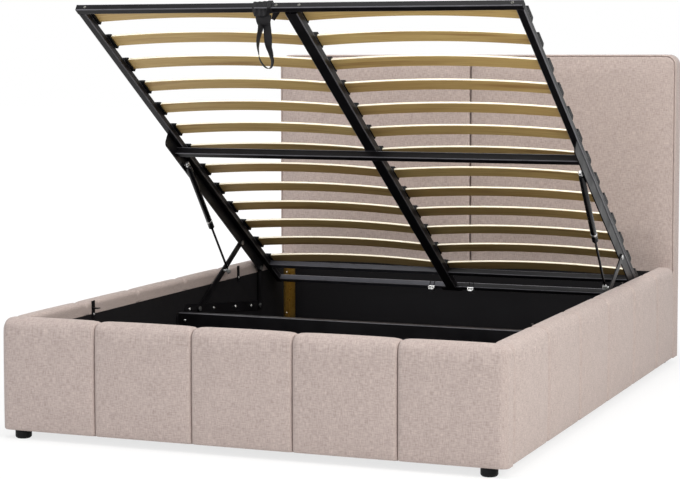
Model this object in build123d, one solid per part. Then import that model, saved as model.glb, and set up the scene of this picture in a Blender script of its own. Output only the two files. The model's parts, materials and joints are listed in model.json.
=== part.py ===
from build123d import *
import os
from math import acos, atan2, cos, degrees, hypot, radians, sin

# Upholstered double bed whose slatted frame lifts on a four-bar gas-strut mechanism.
# Millimetres, +Z up, +X to the right seen from the foot end, +Y towards the headboard.
# The origin is on the floor, at the middle of the bed. The frame is modelled lifted.

# Box
mattress_width = 1400.0
mattress_length = 2000.0
mattress_side_play = 5.0
mattress_end_play = 5.0
rail_thickness = 60.0
rail_height = 318.0
headboard_height = 1080.0
headboard_thickness = 70.0
glide_height = 25.0

# Upholstery
footboard_panels = 5
side_panel_width = 346.0
panel_crown = 3.0
face_bow = 2.5
seam_bow = 0.5
seam_depth = 8.0
seam_sink = 6.0
top_round = 24.0
inner_top_round = 12.0
bottom_round = 8.0
end_round = 12.0
fabric_turn_in = 30.0
headboard_crown = 8.0
headboard_corner_round = 40.0
headboard_edge_round = 16.0
headboard_back_margin = 16.0
panel_station_shares = (0.035, 0.5, 0.965)
panel_fill_shares = (0.8, 1.0, 0.8)
butt_fill_share = 0.45
quarter_turn_shares = (0.0, 0.33, 0.67, 1.0)

# Boards inside the box
board_thickness = 18.0
headboard_board_thickness = 20.0
head_panel_thickness = 12.0
head_panel_height = 311.0
ledge_width = 20.0
ledge_height = 25.0
floor_thickness = 5.0
floor_gap = 1.5
floor_batten_width = 60.0

# Glides
glide_radius = 24.0
glide_edge = 5.0
glide_inset = 56.0
middle_glides = 3

# Cross beam
beam_gap = 34.0
beam_top = 219.0
beam_height = 50.0
beam_depth = 30.0
steel_wall = 1.5
beam_plate_height = 90.0
beam_plate_depth = 60.0
beam_plate_corner = 10.0
plate_thickness = 3.0

# Corner brackets
front_bracket_leg = 55.0
front_bracket_height = 150.0
front_bracket_drop = 18.0
rear_bracket_leg = 52.0
rear_bracket_flange = 26.0
rear_bracket_height = 200.0
rear_bracket_bottom = 82.0
rear_bracket_gap = 52.0
bracket_hole_radius = 3.5
bracket_hole_inset = 22.0

# Rest tabs for the closed frame, and plain guide plates beside its arms
tab_place = 447.0
guide_lead = 178.0
tab_width = 18.0
tab_thickness = 3.0
tab_rise = 22.0
tab_shelf = 22.0
tab_leg = 34.0
rest_clearance = 0.3

# Slatted frame
open_angle = 33.0
frame_side_gap = 6.0
frame_foot_gap = 82.0
frame_head_gap = 99.0
tube_width = 24.0
tube_height = 20.0
centre_rail_width = 38.0
centre_rail_drop = 5.0
cross_bar_lead = 79.0
cross_bar_height = 25.0
head_bar_gap = 114.0
end_bar_split = 8.0
end_bracket_length = 74.0
end_bracket_lip = 14.0

# Slats and holders
slat_rows = 13
first_slat = 52.0
last_slat_gap = 111.0
slat_width = 53.0
slat_thickness = 8.0
slat_bow = 16.0
holder_base = 3.0
holder_wall = 4.0
holder_socket_height = 11.0
holder_reach = 8.0
slat_side_play = 0.4
slat_end_play = 3.0

# Lift mechanism, seen from the side
rear_pivot_to_head = 357.0
rear_pivot_height = 165.0
rear_link_length = 139.0
base_pivot_spacing = 513.0
front_pivot_height = 214.0
frame_joint_spacing = 198.0
strut_joint_spacing = 760.0
joint_drop = 28.0
strut_joint_share = 0.568

# Lift mechanism, sections
link_width = 24.0
link_thickness = 4.0
side_play = 0.4
pin_radius = 5.0
pin_fit = 0.05
pin_head_radius = 9.0
pin_head_thickness = 2.5
base_bar_width = 34.0
base_bar_lead = 89.0
base_bar_tail = 17.0
bar_bolt_radius = 6.0
bar_bolt_height = 3.0
bar_bolt_shares = (-0.14, 0.237, 0.595, 0.862)
arm_depth = 42.0
arm_lead = 158.0
arm_flange_width = 18.0
arm_flange_lead = 40.0
arm_tip_round = 14.0
cylinder_radius = 10.0
cylinder_length = 286.0
cylinder_wall = 1.5
rod_radius = 4.0
rod_fit = 0.1
rod_overlap = 30.0
socket_radius = 8.0
socket_length = 20.0
stud_radius = 4.0
ball_radius = 5.0
ball_bands = 4
ball_fit = 0.05
strut_side_gap = 2.5
open_pivot_gap = 0.4

# Pull strap
strap_from_centre = -85.0
strap_wrap_width = 58.0
strap_thickness = 2.5
strap_loop_width = 50.0
strap_loop_height = 178.0
strap_web_width = 25.0
strap_neck = 12.0

# Fasteners
bolt_head_radius = 6.0
bolt_head_height = 3.0
hex_sides = 6
centre_bolt_places = (-41.0, 31.0)
corner_bolt_inset = 30.0
clamp_spacing = 148.0
clamp_width = 22.0
clamp_depth = 18.0
clamp_height = 16.0
clamp_corner = 3.0
clamp_wire = 3.0
clamp_wire_spacing = 16.0
clamp_wire_reach = 12.0

cut_overrun = 5.0

os.makedirs("parts", exist_ok=True)

# Derived places
inner_half = mattress_width / 2 + mattress_side_play
outer_half = inner_half + rail_thickness
inner_length = mattress_length + mattress_end_play
headboard_face_from_foot = rail_thickness + inner_length
rear_pivot_from_foot = headboard_face_from_foot - rear_pivot_to_head
front_pivot_from_foot = rear_pivot_from_foot - base_pivot_spacing
beam_from_foot = front_pivot_from_foot - base_bar_lead - beam_gap - beam_depth
box_length = headboard_face_from_foot + headboard_thickness
overall_length = face_bow + panel_crown + box_length
foot_face = face_bow + panel_crown - overall_length / 2
headboard_face = foot_face + headboard_face_from_foot
box_start = foot_face + rail_thickness
bottom = glide_height
top_of_boards = rail_height - fabric_turn_in
floor_level = bottom + ledge_height
holder_length = tube_width + holder_reach
slat_seat = tube_height + holder_base
frame_half_width = inner_half - frame_side_gap
frame_length = inner_length - head_panel_thickness - frame_foot_gap - frame_head_gap
head_bar_end = frame_length - head_bar_gap
slat_pitch = (frame_length - last_slat_gap - slat_width - first_slat) / (slat_rows - 1)


def rear_pivot():
    """Where the rear links turn on the base, as (y, z)."""
    return foot_face + rear_pivot_from_foot, bottom + rear_pivot_height


def front_pivot():
    """Where the front links turn on the base, as (y, z)."""
    return foot_face + front_pivot_from_foot, bottom + front_pivot_height


def frame_pivot():
    """Where the lifted frame turns on its upright rear links, as (y, z)."""
    y, z = rear_pivot()
    return y, z + rear_link_length


def lifted(back, normal):
    """A point of the lifted frame from its place behind the pivot and above the frame, as (y, z)."""
    y, z = frame_pivot()
    up = normal + joint_drop
    tilt = radians(open_angle)
    return y + back * cos(tilt) + up * sin(tilt), z - back * sin(tilt) + up * cos(tilt)


def polar(start, end):
    """Distance and direction in degrees from one (y, z) point to another."""
    rise, run = end[1] - start[1], end[0] - start[0]
    return hypot(run, rise), degrees(atan2(rise, run))


def between(start, end, share):
    """The point a share of the way from start to end."""
    return start[0] + (end[0] - start[0]) * share, start[1] + (end[1] - start[1]) * share


front_joint = lifted(-frame_joint_spacing, -joint_drop)
strut_top = lifted(-strut_joint_spacing, -joint_drop)
front_link_length, front_link_open = polar(front_pivot(), front_joint)
strut_foot = between(front_pivot(), front_joint, strut_joint_share)
strut_open_length, strut_open = polar(strut_top, strut_foot)


def closed_rear_link():
    """Direction in degrees of the rear links when the frame lies level."""
    y = rear_pivot()[0] - frame_joint_spacing - front_pivot()[0]
    z = rear_pivot()[1] - front_pivot()[1]
    reach = hypot(y, z)
    share = (front_link_length**2 - reach**2 - rear_link_length**2) / (2 * rear_link_length * reach)
    return degrees(atan2(z, y) + acos(share))


rear_link_closed = closed_rear_link()
closed_pivot = (
    rear_pivot()[0] + rear_link_length * cos(radians(rear_link_closed)),
    rear_pivot()[1] + rear_link_length * sin(radians(rear_link_closed)),
)
closed_frame_bottom = closed_pivot[1] + joint_drop
closed_front_joint = (closed_pivot[0] - frame_joint_spacing, closed_pivot[1])
front_link_closed = polar(front_pivot(), closed_front_joint)[1]
closed_strut_top = (closed_pivot[0] - strut_joint_spacing, closed_pivot[1])
closed_strut_foot = between(front_pivot(), closed_front_joint, strut_joint_share)
strut_closed_length, strut_closed = polar(closed_strut_top, closed_strut_foot)

# Places along the frame, from its foot end, which lies behind the footboard when closed
frame_pivot_from_foot = closed_pivot[0] - box_start - frame_foot_gap
front_joint_from_foot = frame_pivot_from_foot - frame_joint_spacing
strut_joint_from_foot = frame_pivot_from_foot - strut_joint_spacing
cross_bar_from_foot = strut_joint_from_foot - cross_bar_lead
arm_start = strut_joint_from_foot - arm_lead
arm_flange_start = strut_joint_from_foot - arm_flange_lead


def block(x0, x1, y0, y1, z0, z1):
    """A box between two opposite corners."""
    size = Box(abs(x1 - x0), abs(y1 - y0), abs(z1 - z0))
    return Pos((x0 + x1) / 2, (y0 + y1) / 2, (z0 + z1) / 2) * size


def square_tube(x0, x1, y0, y1, z0, z1, axis):
    """A hollow rectangular tube, open at both ends of its axis."""
    grow = {name: (cut_overrun if name == axis else -steel_wall) for name in "xyz"}
    bore = block(
        x0 - grow["x"], x1 + grow["x"],
        y0 - grow["y"], y1 + grow["y"],
        z0 - grow["z"], z1 + grow["z"],
    )
    return block(x0, x1, y0, y1, z0, z1) - bore


def to_lifted(shape):
    """Move a piece from the level frame's own axes to the lifted frame."""
    y, z = frame_pivot()
    return Pos(0, y, z) * Rot(-open_angle, 0, 0) * Pos(0, -frame_pivot_from_foot, joint_drop) * shape


def both_sides(left):
    """The left piece and its mirror image on the right."""
    return {"left": left, "right": mirror(left, about=Plane.YZ)}


def group(pieces):
    """Several separate solids kept as one node."""
    return Compound([solid for piece in pieces for solid in piece.solids()])


def save(name, shape):
    """Write one named node."""
    export_step(shape, "parts/" + name + ".step")


def padded_section(at, fill, inset=0.0):
    """Outline of a padded rail: at(t, z) places a point t outwards from the inner face."""
    face = rail_thickness + panel_crown * fill - seam_depth * (1 - fill) - inset
    crest = rail_height - seam_sink * (1 - fill) - inset
    half_turn = 1 - cos(radians(45))
    bow = seam_bow + (face_bow - seam_bow) * fill
    low, high = bottom_round, crest - top_round
    edges = [
        Edge.make_line(at(0, 0), at(face - bottom_round, 0)),
        Edge.make_line(at(face - bottom_round, 0), at(face, low)),
        Edge.make_three_point_arc(at(face, low), at(face + bow, (low + high) / 2), at(face, high)),
        Edge.make_three_point_arc(
            at(face, high),
            at(face - top_round * half_turn, crest - top_round * half_turn),
            at(face - top_round, crest),
        ),
        Edge.make_line(at(face - top_round, crest), at(inner_top_round, crest)),
        Edge.make_line(
            at(inner_top_round, crest),
            at(inner_top_round * half_turn, crest - inner_top_round * half_turn),
        ),
        Edge.make_line(
            at(inner_top_round * half_turn, crest - inner_top_round * half_turn),
            at(0, crest - inner_top_round),
        ),
        Edge.make_line(at(0, crest - inner_top_round), at(0, 0)),
    ]
    return Wire(edges)


def rounded_end(place, inwards):
    """Stations of a rounded end, from its tip inwards: place, fill and inset."""
    stations = []
    for share in quarter_turn_shares[:-1]:
        turn = radians(90 * share)
        stations.append((place + inwards * end_round * (1 - cos(turn)), 1.0, end_round * (1 - sin(turn))))
    return stations + [(place + inwards * end_round, 1.0, 0.0)]


def channel_stations(seams, round_ends):
    """Places, fills and insets along a channelled rail, from its list of seam places."""
    stations = []
    for start, end in zip(seams, seams[1:]):
        stations.append((start, 0.0, 0.0))
        for share, fill in zip(panel_station_shares, panel_fill_shares):
            stations.append((start + (end - start) * share, fill, 0.0))
    if round_ends:
        first = rounded_end(seams[0], 1)
        last = rounded_end(seams[-1], -1)
        return first + stations[2:-1] + last[::-1]
    return [(seams[0], butt_fill_share, 0.0)] + stations[1:] + [(seams[-1], butt_fill_share, 0.0)]


def make_box():
    """Footboard, side rails and head panel: boards and their padded covers."""
    seams = [-outer_half + 2 * outer_half * n / footboard_panels for n in range(footboard_panels + 1)]
    sections = [
        padded_section(lambda t, z, x=x: Vector(x, box_start - t, bottom + z), fill, inset)
        for x, fill, inset in channel_stations(seams, True)
    ]
    foot_board = block(
        -outer_half + board_thickness, outer_half - board_thickness,
        box_start - board_thickness, box_start,
        bottom, bottom + top_of_boards,
    )
    save("footboard_board", foot_board)
    save("footboard_upholstery", (Part() + Solid.make_loft(sections, ruled=True)) - foot_board)

    count = int(inner_length // side_panel_width)
    seams = [box_start + side_panel_width * n for n in range(count + 1)] + [headboard_face]
    sections = [
        padded_section(lambda t, z, y=y: Vector(-inner_half - t, y, bottom + z), fill, inset)
        for y, fill, inset in channel_stations(seams, False)
    ]
    side_board = block(
        -inner_half - board_thickness, -inner_half,
        box_start, headboard_face,
        bottom, bottom + top_of_boards,
    )
    upholstery = (Part() + Solid.make_loft(sections, ruled=True)) - side_board
    for side, shape in both_sides(side_board).items():
        save(side + "_rail_board", shape)
    for side, shape in both_sides(upholstery).items():
        save(side + "_rail_upholstery", shape)

    save("head_panel", block(
        -inner_half, inner_half,
        headboard_face - head_panel_thickness, headboard_face,
        bottom, bottom + head_panel_height,
    ))


def headboard_section(x, fill, drop, edge):
    """Outline of the headboard's cover at one place across the bed."""
    front = headboard_face + seam_depth * (1 - fill) + edge
    back = headboard_face + headboard_thickness
    crest = bottom + headboard_height - drop
    half_turn = 1 - cos(radians(45))
    plain = bottom + rail_height + top_round
    high = crest - headboard_edge_round
    bow = seam_bow + (headboard_crown - seam_bow) * fill
    points = {
        "low": Vector(x, front, bottom),
        "plain": Vector(x, front, plain),
        "bow": Vector(x, front - bow, (plain + high) / 2),
        "high": Vector(x, front, high),
        "turn": Vector(x, front + headboard_edge_round * half_turn, crest - headboard_edge_round * half_turn),
        "top": Vector(x, front + headboard_edge_round, crest),
        "rear": Vector(x, back, crest),
        "heel": Vector(x, back, bottom),
    }
    return Wire([
        Edge.make_line(points["low"], points["plain"]),
        Edge.make_three_point_arc(points["plain"], points["bow"], points["high"]),
        Edge.make_three_point_arc(points["high"], points["turn"], points["top"]),
        Edge.make_line(points["top"], points["rear"]),
        Edge.make_line(points["rear"], points["heel"]),
        Edge.make_line(points["heel"], points["low"]),
    ])


def make_headboard():
    """Two wide padded panels on a board, with rounded top corners."""
    left = []
    for share in quarter_turn_shares:
        turn = radians(90 * share)
        left.append((
            -outer_half + headboard_corner_round * (1 - cos(turn)),
            1.0,
            headboard_corner_round * (1 - sin(turn)),
            end_round * (1 - sin(turn)),
        ))
    shoulder = outer_half * (1 - panel_station_shares[-1])
    left.append((-outer_half / 2, 1.0, 0.0, 0.0))
    left.append((-shoulder, panel_fill_shares[-1], 0.0, 0.0))
    right = [(-x, fill, drop, edge) for x, fill, drop, edge in reversed(left)]
    stations = left + [(0.0, 0.0, 0.0, 0.0)] + right
    cover = Part() + Solid.make_loft([headboard_section(*station) for station in stations], ruled=True)
    back = headboard_face + headboard_thickness
    board = block(
        -outer_half + headboard_back_margin, outer_half - headboard_back_margin,
        back - headboard_board_thickness, back,
        bottom, bottom + headboard_height - headboard_back_margin,
    )
    corners = board.edges().filter_by(Axis.Y).sort_by(Axis.Z)[-2:]
    board = fillet(corners, headboard_corner_round - headboard_back_margin)
    save("headboard_board", board)
    save("headboard_upholstery", cover - board)


def make_floor():
    """Ledges, middle batten and the two floor panels of the storage space."""
    head_end = headboard_face - head_panel_thickness
    save("floor_ledges", group([
        block(-inner_half, -inner_half + ledge_width, box_start, head_end, bottom, floor_level),
        block(inner_half - ledge_width, inner_half, box_start, head_end, bottom, floor_level),
    ]))
    save("floor_batten", block(
        -floor_batten_width / 2, floor_batten_width / 2, box_start, head_end, bottom, floor_level,
    ))
    panel = block(
        -inner_half + floor_gap, -floor_gap / 2,
        box_start + floor_gap, head_end - floor_gap,
        floor_level, floor_level + floor_thickness,
    )
    for side, shape in both_sides(panel).items():
        save(side + "_floor_panel", shape)


def glide():
    """One round glide, its top at the origin."""
    outline = Polyline(
        (0, 0),
        (glide_radius, 0),
        (glide_radius, -glide_height + glide_edge),
        (glide_radius - glide_edge, -glide_height),
        (0, -glide_height),
        close=True,
    )
    return revolve(Plane.XZ * make_face(outline), Axis.Z)


def make_glides():
    """Four corner glides and a row of glides under the middle batten."""
    x = outer_half - glide_inset
    rear = headboard_face + headboard_thickness / 2
    front = foot_face + rail_thickness / 2
    for end, y in {"front": front, "rear": rear}.items():
        save(end + "_glides", group([Pos(sign * x, y, bottom) * glide() for sign in (-1, 1)]))
    reach = inner_length / (middle_glides + 1)
    save("middle_glides", group([
        Pos(0, box_start + reach * (n + 1), bottom) * glide() for n in range(middle_glides)
    ]))


def make_cross_beam():
    """Steel beam across the box, between a plate on each rail."""
    y = foot_face + beam_from_foot
    z = bottom + beam_top
    wall = inner_half - plate_thickness
    beam = square_tube(-wall, wall, y, y + beam_depth, z - beam_height, z, "x")
    middle = y + beam_depth / 2
    plate = block(
        -inner_half, -wall,
        middle - beam_plate_depth / 2, middle + beam_plate_depth / 2,
        z - beam_plate_height, z,
    )
    plate = chamfer(plate.edges().filter_by(Axis.X), beam_plate_corner)
    save("cross_beam", beam)
    save("cross_beam_plates", group(both_sides(plate).values()))


def make_corner_brackets():
    """Black angle plates at the foot end and zinc-plated ones at the head end."""
    z1 = bottom + top_of_boards - front_bracket_drop
    z0 = z1 - front_bracket_height
    wall = -inner_half
    front = block(wall, wall + plate_thickness, box_start, box_start + front_bracket_leg, z0, z1)
    front += block(wall, wall + front_bracket_leg, box_start, box_start + plate_thickness, z0, z1)
    away = front_bracket_leg - bracket_hole_inset
    hole = Cylinder(bracket_hole_radius, 2 * cut_overrun + plate_thickness)
    front -= Pos(wall, box_start + away, z0 + bracket_hole_inset) * Rot(0, 90, 0) * hole
    front -= Pos(wall + away, box_start, z1 - bracket_hole_inset) * Rot(90, 0, 0) * hole
    save("front_corner_brackets", group(both_sides(front).values()))

    y1 = headboard_face - head_panel_thickness - rear_bracket_gap
    y0 = y1 - rear_bracket_leg
    z0 = bottom + rear_bracket_bottom
    z1 = z0 + rear_bracket_height
    rear = block(wall, wall + plate_thickness, y0, y1, z0, z1)
    rear += block(wall, wall + rear_bracket_flange, y1 - plate_thickness, y1, z0, z1)
    for z in (z0 + bracket_hole_inset, z1 - bracket_hole_inset):
        rear -= Pos(wall, y0 + bracket_hole_inset, z) * Rot(0, 90, 0) * hole
    save("rear_corner_brackets", group(both_sides(rear).values()))


def make_rest_tabs():
    """Angle tabs that the closed frame lies on, and guide plates that keep it off the rails."""
    shelf = closed_frame_bottom - rest_clearance
    wall = -inner_half
    pieces = []
    guide_place = rear_pivot_from_foot - guide_lead
    for place, reach in ((tab_place, tab_shelf), (guide_place, tab_thickness)):
        y0 = foot_face + place - tab_width / 2
        tab = block(wall, wall + tab_thickness, y0, y0 + tab_width, shelf - tab_leg, shelf + tab_rise)
        tab += block(wall, wall + reach, y0, y0 + tab_width, shelf - tab_thickness, shelf)
        pieces += both_sides(tab).values()
    save("rest_tabs", group(pieces))


def flat_link(x, start, end, width, holes):
    """A flat bar with round ends between two (y, z) points, bored at the given shares."""
    length, angle = polar(start, end)
    plane = Plane(
        (x, (start[0] + end[0]) / 2, (start[1] + end[1]) / 2),
        x_dir=(0, cos(radians(angle)), sin(radians(angle))),
        z_dir=(1, 0, 0),
    )
    outline = SlotCenterToCenter(length, width)
    for share, radius in holes:
        outline -= Pos(length * (share - 1 / 2), 0) * Circle(radius)
    return extrude(plane * outline, link_thickness)


def pin(x0, x1, centre, radius):
    """A round pin along X between two places, centred on a (y, z) point."""
    body = Rot(0, 90, 0) * Cylinder(radius, abs(x1 - x0))
    return Pos((x0 + x1) / 2, centre[0], centre[1]) * body


def hex_head(x0, x1, centre, radius):
    """A hexagonal bolt head or nut along X between two places, centred on a (y, z) point."""
    plane = Plane((min(x0, x1), centre[0], centre[1]), x_dir=(0, 1, 0), z_dir=(1, 0, 0))
    return extrude(plane * RegularPolygon(radius, hex_sides), abs(x1 - x0))


# The mechanism's layers on the left side, from the rail's wall inwards
wall_x = -inner_half
link_x = wall_x + link_thickness + side_play
arm_x = link_x + link_thickness + side_play
arm_face = arm_x + link_thickness
ball_x = arm_face + strut_side_gap + cylinder_radius
bore_radius = pin_radius + pin_fit


def make_base_bars():
    """Sloping base bars on the rails, with the pins that both links turn on."""
    length, _ = polar(front_pivot(), rear_pivot())
    start = between(front_pivot(), rear_pivot(), -base_bar_lead / length)
    end = between(front_pivot(), rear_pivot(), 1 + base_bar_tail / length)
    bar = flat_link(wall_x, start, end, base_bar_width, [])
    link_face = link_x + link_thickness + side_play
    for pivot in (front_pivot(), rear_pivot()):
        bar += pin(wall_x, link_face, pivot, pin_radius)
        bar += hex_head(link_face, link_face + pin_head_thickness, pivot, pin_head_radius)
    for side, shape in both_sides(bar).items():
        save(side + "_base_bar", shape)
    face = wall_x + link_thickness
    bolts = []
    for share in bar_bolt_shares:
        place = between(front_pivot(), rear_pivot(), share)
        bolts += both_sides(hex_head(face, face + bar_bolt_height, place, bar_bolt_radius)).values()
    save("base_bar_bolts", group(bolts))


def make_links():
    """Rear links, and front links that carry the lower strut studs.

    The front link's joint with the arm is left open: its rivet fills the link alone.
    """
    rear = flat_link(link_x, rear_pivot(), frame_pivot(), link_width, [(0, bore_radius), (1, bore_radius)])
    for side, shape in both_sides(rear).items():
        save(side + "_rear_link", shape)
    front = flat_link(link_x, front_pivot(), front_joint, link_width, [(0, bore_radius)])
    front += hex_head(link_x - pin_head_thickness, link_x, front_joint, pin_head_radius)
    front += pin(link_x + link_thickness, ball_x - socket_radius - open_pivot_gap, strut_foot, stud_radius)
    for side, shape in both_sides(front).items():
        save(side + "_front_link", shape)


def stud_ball():
    """A ball round the origin, turned about X as a row of conical bands."""
    turns = [radians(180 * n / ball_bands) for n in range(ball_bands + 1)]
    rim = [(ball_radius * cos(turn), ball_radius * sin(turn)) for turn in turns]
    return revolve(make_face(Polyline(*rim, close=True)), Axis.X)


def make_lift_arms():
    """Lift arms under the frame's side tubes, with their pins and upper ball studs."""
    tail = frame_pivot_from_foot + arm_depth - joint_drop
    low = -arm_depth
    turn = arm_tip_round * (1 - cos(radians(45)))
    tail_turn = (arm_depth - joint_drop) * cos(radians(45))
    outline = Wire([
        Line((arm_start, 0), (arm_start, low + arm_tip_round)),
        ThreePointArc(
            (arm_start, low + arm_tip_round),
            (arm_start + turn, low + turn),
            (arm_start + arm_tip_round, low),
        ),
        Line((arm_start + arm_tip_round, low), (frame_pivot_from_foot, low)),
        ThreePointArc(
            (frame_pivot_from_foot, low),
            (frame_pivot_from_foot + tail_turn, -joint_drop - tail_turn),
            (tail, -joint_drop),
        ),
        Line((tail, -joint_drop), (tail, 0)),
        Line((tail, 0), (arm_start, 0)),
    ])
    plane = Plane((arm_x, 0, 0), x_dir=(0, 1, 0), z_dir=(1, 0, 0))
    arm = extrude(plane * make_face(outline), link_thickness)
    arm += block(arm_face, arm_face + arm_flange_width, arm_flange_start, tail, -link_thickness, 0)
    pivot = (frame_pivot_from_foot, -joint_drop)
    arm += pin(link_x - side_play, arm_x, pivot, pin_radius)
    arm += hex_head(link_x - side_play - pin_head_thickness, link_x - side_play, pivot, pin_head_radius)
    for place in (front_joint_from_foot, frame_pivot_from_foot):
        arm += hex_head(arm_face, arm_face + pin_head_thickness, (place, -joint_drop), pin_head_radius)
    joint = (strut_joint_from_foot, -joint_drop)
    arm += pin(arm_face, ball_x, joint, stud_radius)
    arm += Pos(ball_x, joint[0], joint[1]) * stud_ball()
    for side, piece in both_sides(to_lifted(arm)).items():
        save(side + "_lift_arm", piece)


def strut_plane():
    """A plane at the strut's upper joint whose Z axis runs down the strut."""
    angle = radians(strut_open)
    return Plane(
        (ball_x, strut_top[0], strut_top[1]),
        x_dir=(1, 0, 0),
        z_dir=(0, cos(angle), sin(angle)),
    )


def ball_socket():
    """A snap socket round the origin, its axis along Z, bored from -X where the ball comes in."""
    bore = ball_radius + ball_fit
    mouth = -socket_radius - cut_overrun
    cavity = Pos((mouth + bore) / 2, 0, 0) * Rot(0, 90, 0) * Cylinder(bore, bore - mouth)
    return Cylinder(socket_radius, socket_length) - cavity


def make_gas_struts():
    """Gas cylinders, their rods and the sockets that snap on the ball studs."""
    start = socket_length / 2
    tube = Pos(0, 0, start + cylinder_length / 2) * Cylinder(cylinder_radius, cylinder_length)
    hollow_length = cylinder_length - 2 * cylinder_wall
    tube -= Pos(0, 0, start + cylinder_length / 2) * Cylinder(cylinder_radius - cylinder_wall, hollow_length)
    tube -= Pos(0, 0, start + cylinder_length) * Cylinder(rod_radius + rod_fit, 2 * cut_overrun)
    cylinder = ball_socket() + tube
    rod_start = start + cylinder_length - rod_overlap
    rod_end = strut_open_length - socket_length / 2
    rod = Pos(0, 0, (rod_start + rod_end) / 2) * Cylinder(rod_radius, rod_end - rod_start)
    rod += Pos(0, 0, strut_open_length) * Cylinder(socket_radius, socket_length)
    plane = strut_plane()
    for side, shape in both_sides(plane * cylinder).items():
        save(side + "_gas_cylinder", shape)
    for side, shape in both_sides(plane * rod).items():
        save(side + "_piston_rod", shape)


def make_frame():
    """Tubes of the slatted frame, in the level frame's axes and then lifted."""
    outer = frame_half_width
    inner = outer - tube_width
    half_rail = centre_rail_width / 2
    pieces = {
        "foot_bar": square_tube(-outer, outer, 0, tube_width, 0, tube_height, "x"),
        "left_side_tube": square_tube(-outer, -inner, tube_width, frame_length, 0, tube_height, "y"),
        "right_side_tube": square_tube(inner, outer, tube_width, frame_length, 0, tube_height, "y"),
        "centre_tube": square_tube(
            -half_rail, half_rail, tube_width, frame_length - tube_width, -centre_rail_drop, tube_height, "y",
        ),
        "cross_bar": square_tube(
            arm_face, -arm_face,
            cross_bar_from_foot, cross_bar_from_foot + tube_width,
            -centre_rail_drop - cross_bar_height, -centre_rail_drop, "x",
        ),
    }
    for name, shape in pieces.items():
        save(name, to_lifted(shape))
    head = square_tube(-inner, -half_rail, head_bar_end - tube_width, head_bar_end, 0, tube_height, "x")
    save("head_bar", to_lifted(group(both_sides(head).values())))
    end_start = frame_length - tube_width
    end = square_tube(-inner, -end_bar_split / 2, end_start, frame_length, 0, tube_height, "x")
    save("end_bar", to_lifted(group(both_sides(end).values())))
    half = end_bracket_length / 2
    back = frame_length + plate_thickness
    angle = block(-half, half, end_start, back, -plate_thickness, 0)
    angle += block(-half, half, frame_length, back, 0, end_bracket_lip)
    save("end_bar_bracket", to_lifted(angle))


def slat(start, end):
    """One bowed slat across a column, between two places across the frame."""
    low, high = slat_seat + side_play, slat_seat + side_play + slat_thickness
    middle = (start + end) / 2
    under = ThreePointArc((start, low), (middle, low + slat_bow), (end, low))
    over = ThreePointArc((start, high), (middle, high + slat_bow), (end, high))
    outline = make_face([under, over, Line(under @ 0, over @ 0), Line(under @ 1, over @ 1)])
    plane = Plane((0, 0, 0), x_dir=(1, 0, 0), z_dir=(0, -1, 0))
    return extrude(plane * outline, -slat_width)


def make_slats():
    """Rows of bowed slats, one left and one right in each, with their plastic holders."""
    outer_end = frame_half_width - holder_wall - slat_end_play
    inner_end = holder_wall / 2 + slat_end_play
    left = slat(-outer_end, -inner_end)
    pair = both_sides(left).values()
    length = slat_width + 2 * (slat_side_play + holder_wall)
    height = holder_base + side_play + holder_socket_height + slat_bow / 4
    outer = frame_half_width
    reach = centre_rail_width / 2 + holder_reach
    socket = (slat_seat, tube_height + height - holder_wall / 2)
    side_cap = block(-outer, -outer + holder_length, 0, length, tube_height, tube_height + height)
    side_cap -= block(
        -outer + holder_wall, -outer + holder_length + cut_overrun,
        holder_wall, length - holder_wall, *socket,
    )
    centre_cap = block(-reach, reach, 0, length, tube_height, tube_height + height)
    for sign in (-1, 1):
        centre_cap -= block(
            sign * holder_wall / 2, sign * (reach + cut_overrun),
            holder_wall, length - holder_wall, *socket,
        )
    side_caps, centre_caps = [], []
    for row in range(slat_rows):
        place = first_slat + slat_pitch * row
        move = Pos(0, place, 0)
        save("slat_pair_{:02d}".format(row + 1), to_lifted(group([move * piece for piece in pair])))
        seat = Pos(0, place - slat_side_play - holder_wall, 0)
        side_caps += [seat * piece for piece in both_sides(side_cap).values()]
        centre_caps.append(seat * centre_cap)
    save("side_slat_holders", to_lifted(group(side_caps)))
    save("centre_slat_holders", to_lifted(group(centre_caps)))


def make_strap():
    """Webbing sewn round the foot bar, with the pull loop that hangs from it."""
    x0 = strap_from_centre - strap_wrap_width / 2
    x1 = strap_from_centre + strap_wrap_width / 2
    around = strap_thickness
    wrap = block(x0, x1, -around, tube_width + around, -around, tube_height + around)
    bar = block(x0 - cut_overrun, x1 + cut_overrun, 0, tube_width, 0, tube_height)
    bend = strap_loop_width / 2
    neck = strap_neck / 2
    low = bend - strap_loop_height
    outer = make_face(Wire([
        Line((-neck, 0), (neck, 0)),
        Line((neck, 0), (bend, low)),
        ThreePointArc((bend, low), (0, -strap_loop_height), (-bend, low)),
        Line((-bend, low), (-neck, 0)),
    ]))
    y, z = lifted(tube_width / 2 - frame_pivot_from_foot, -strap_thickness)
    plane = Plane((strap_from_centre, y - strap_web_width / 2, z), x_dir=(1, 0, 0), z_dir=(0, -1, 0))
    loop = extrude(plane * (outer - offset(outer, -strap_thickness)), -strap_web_width)
    save("pull_strap", to_lifted(wrap) + loop - to_lifted(bar))


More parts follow.
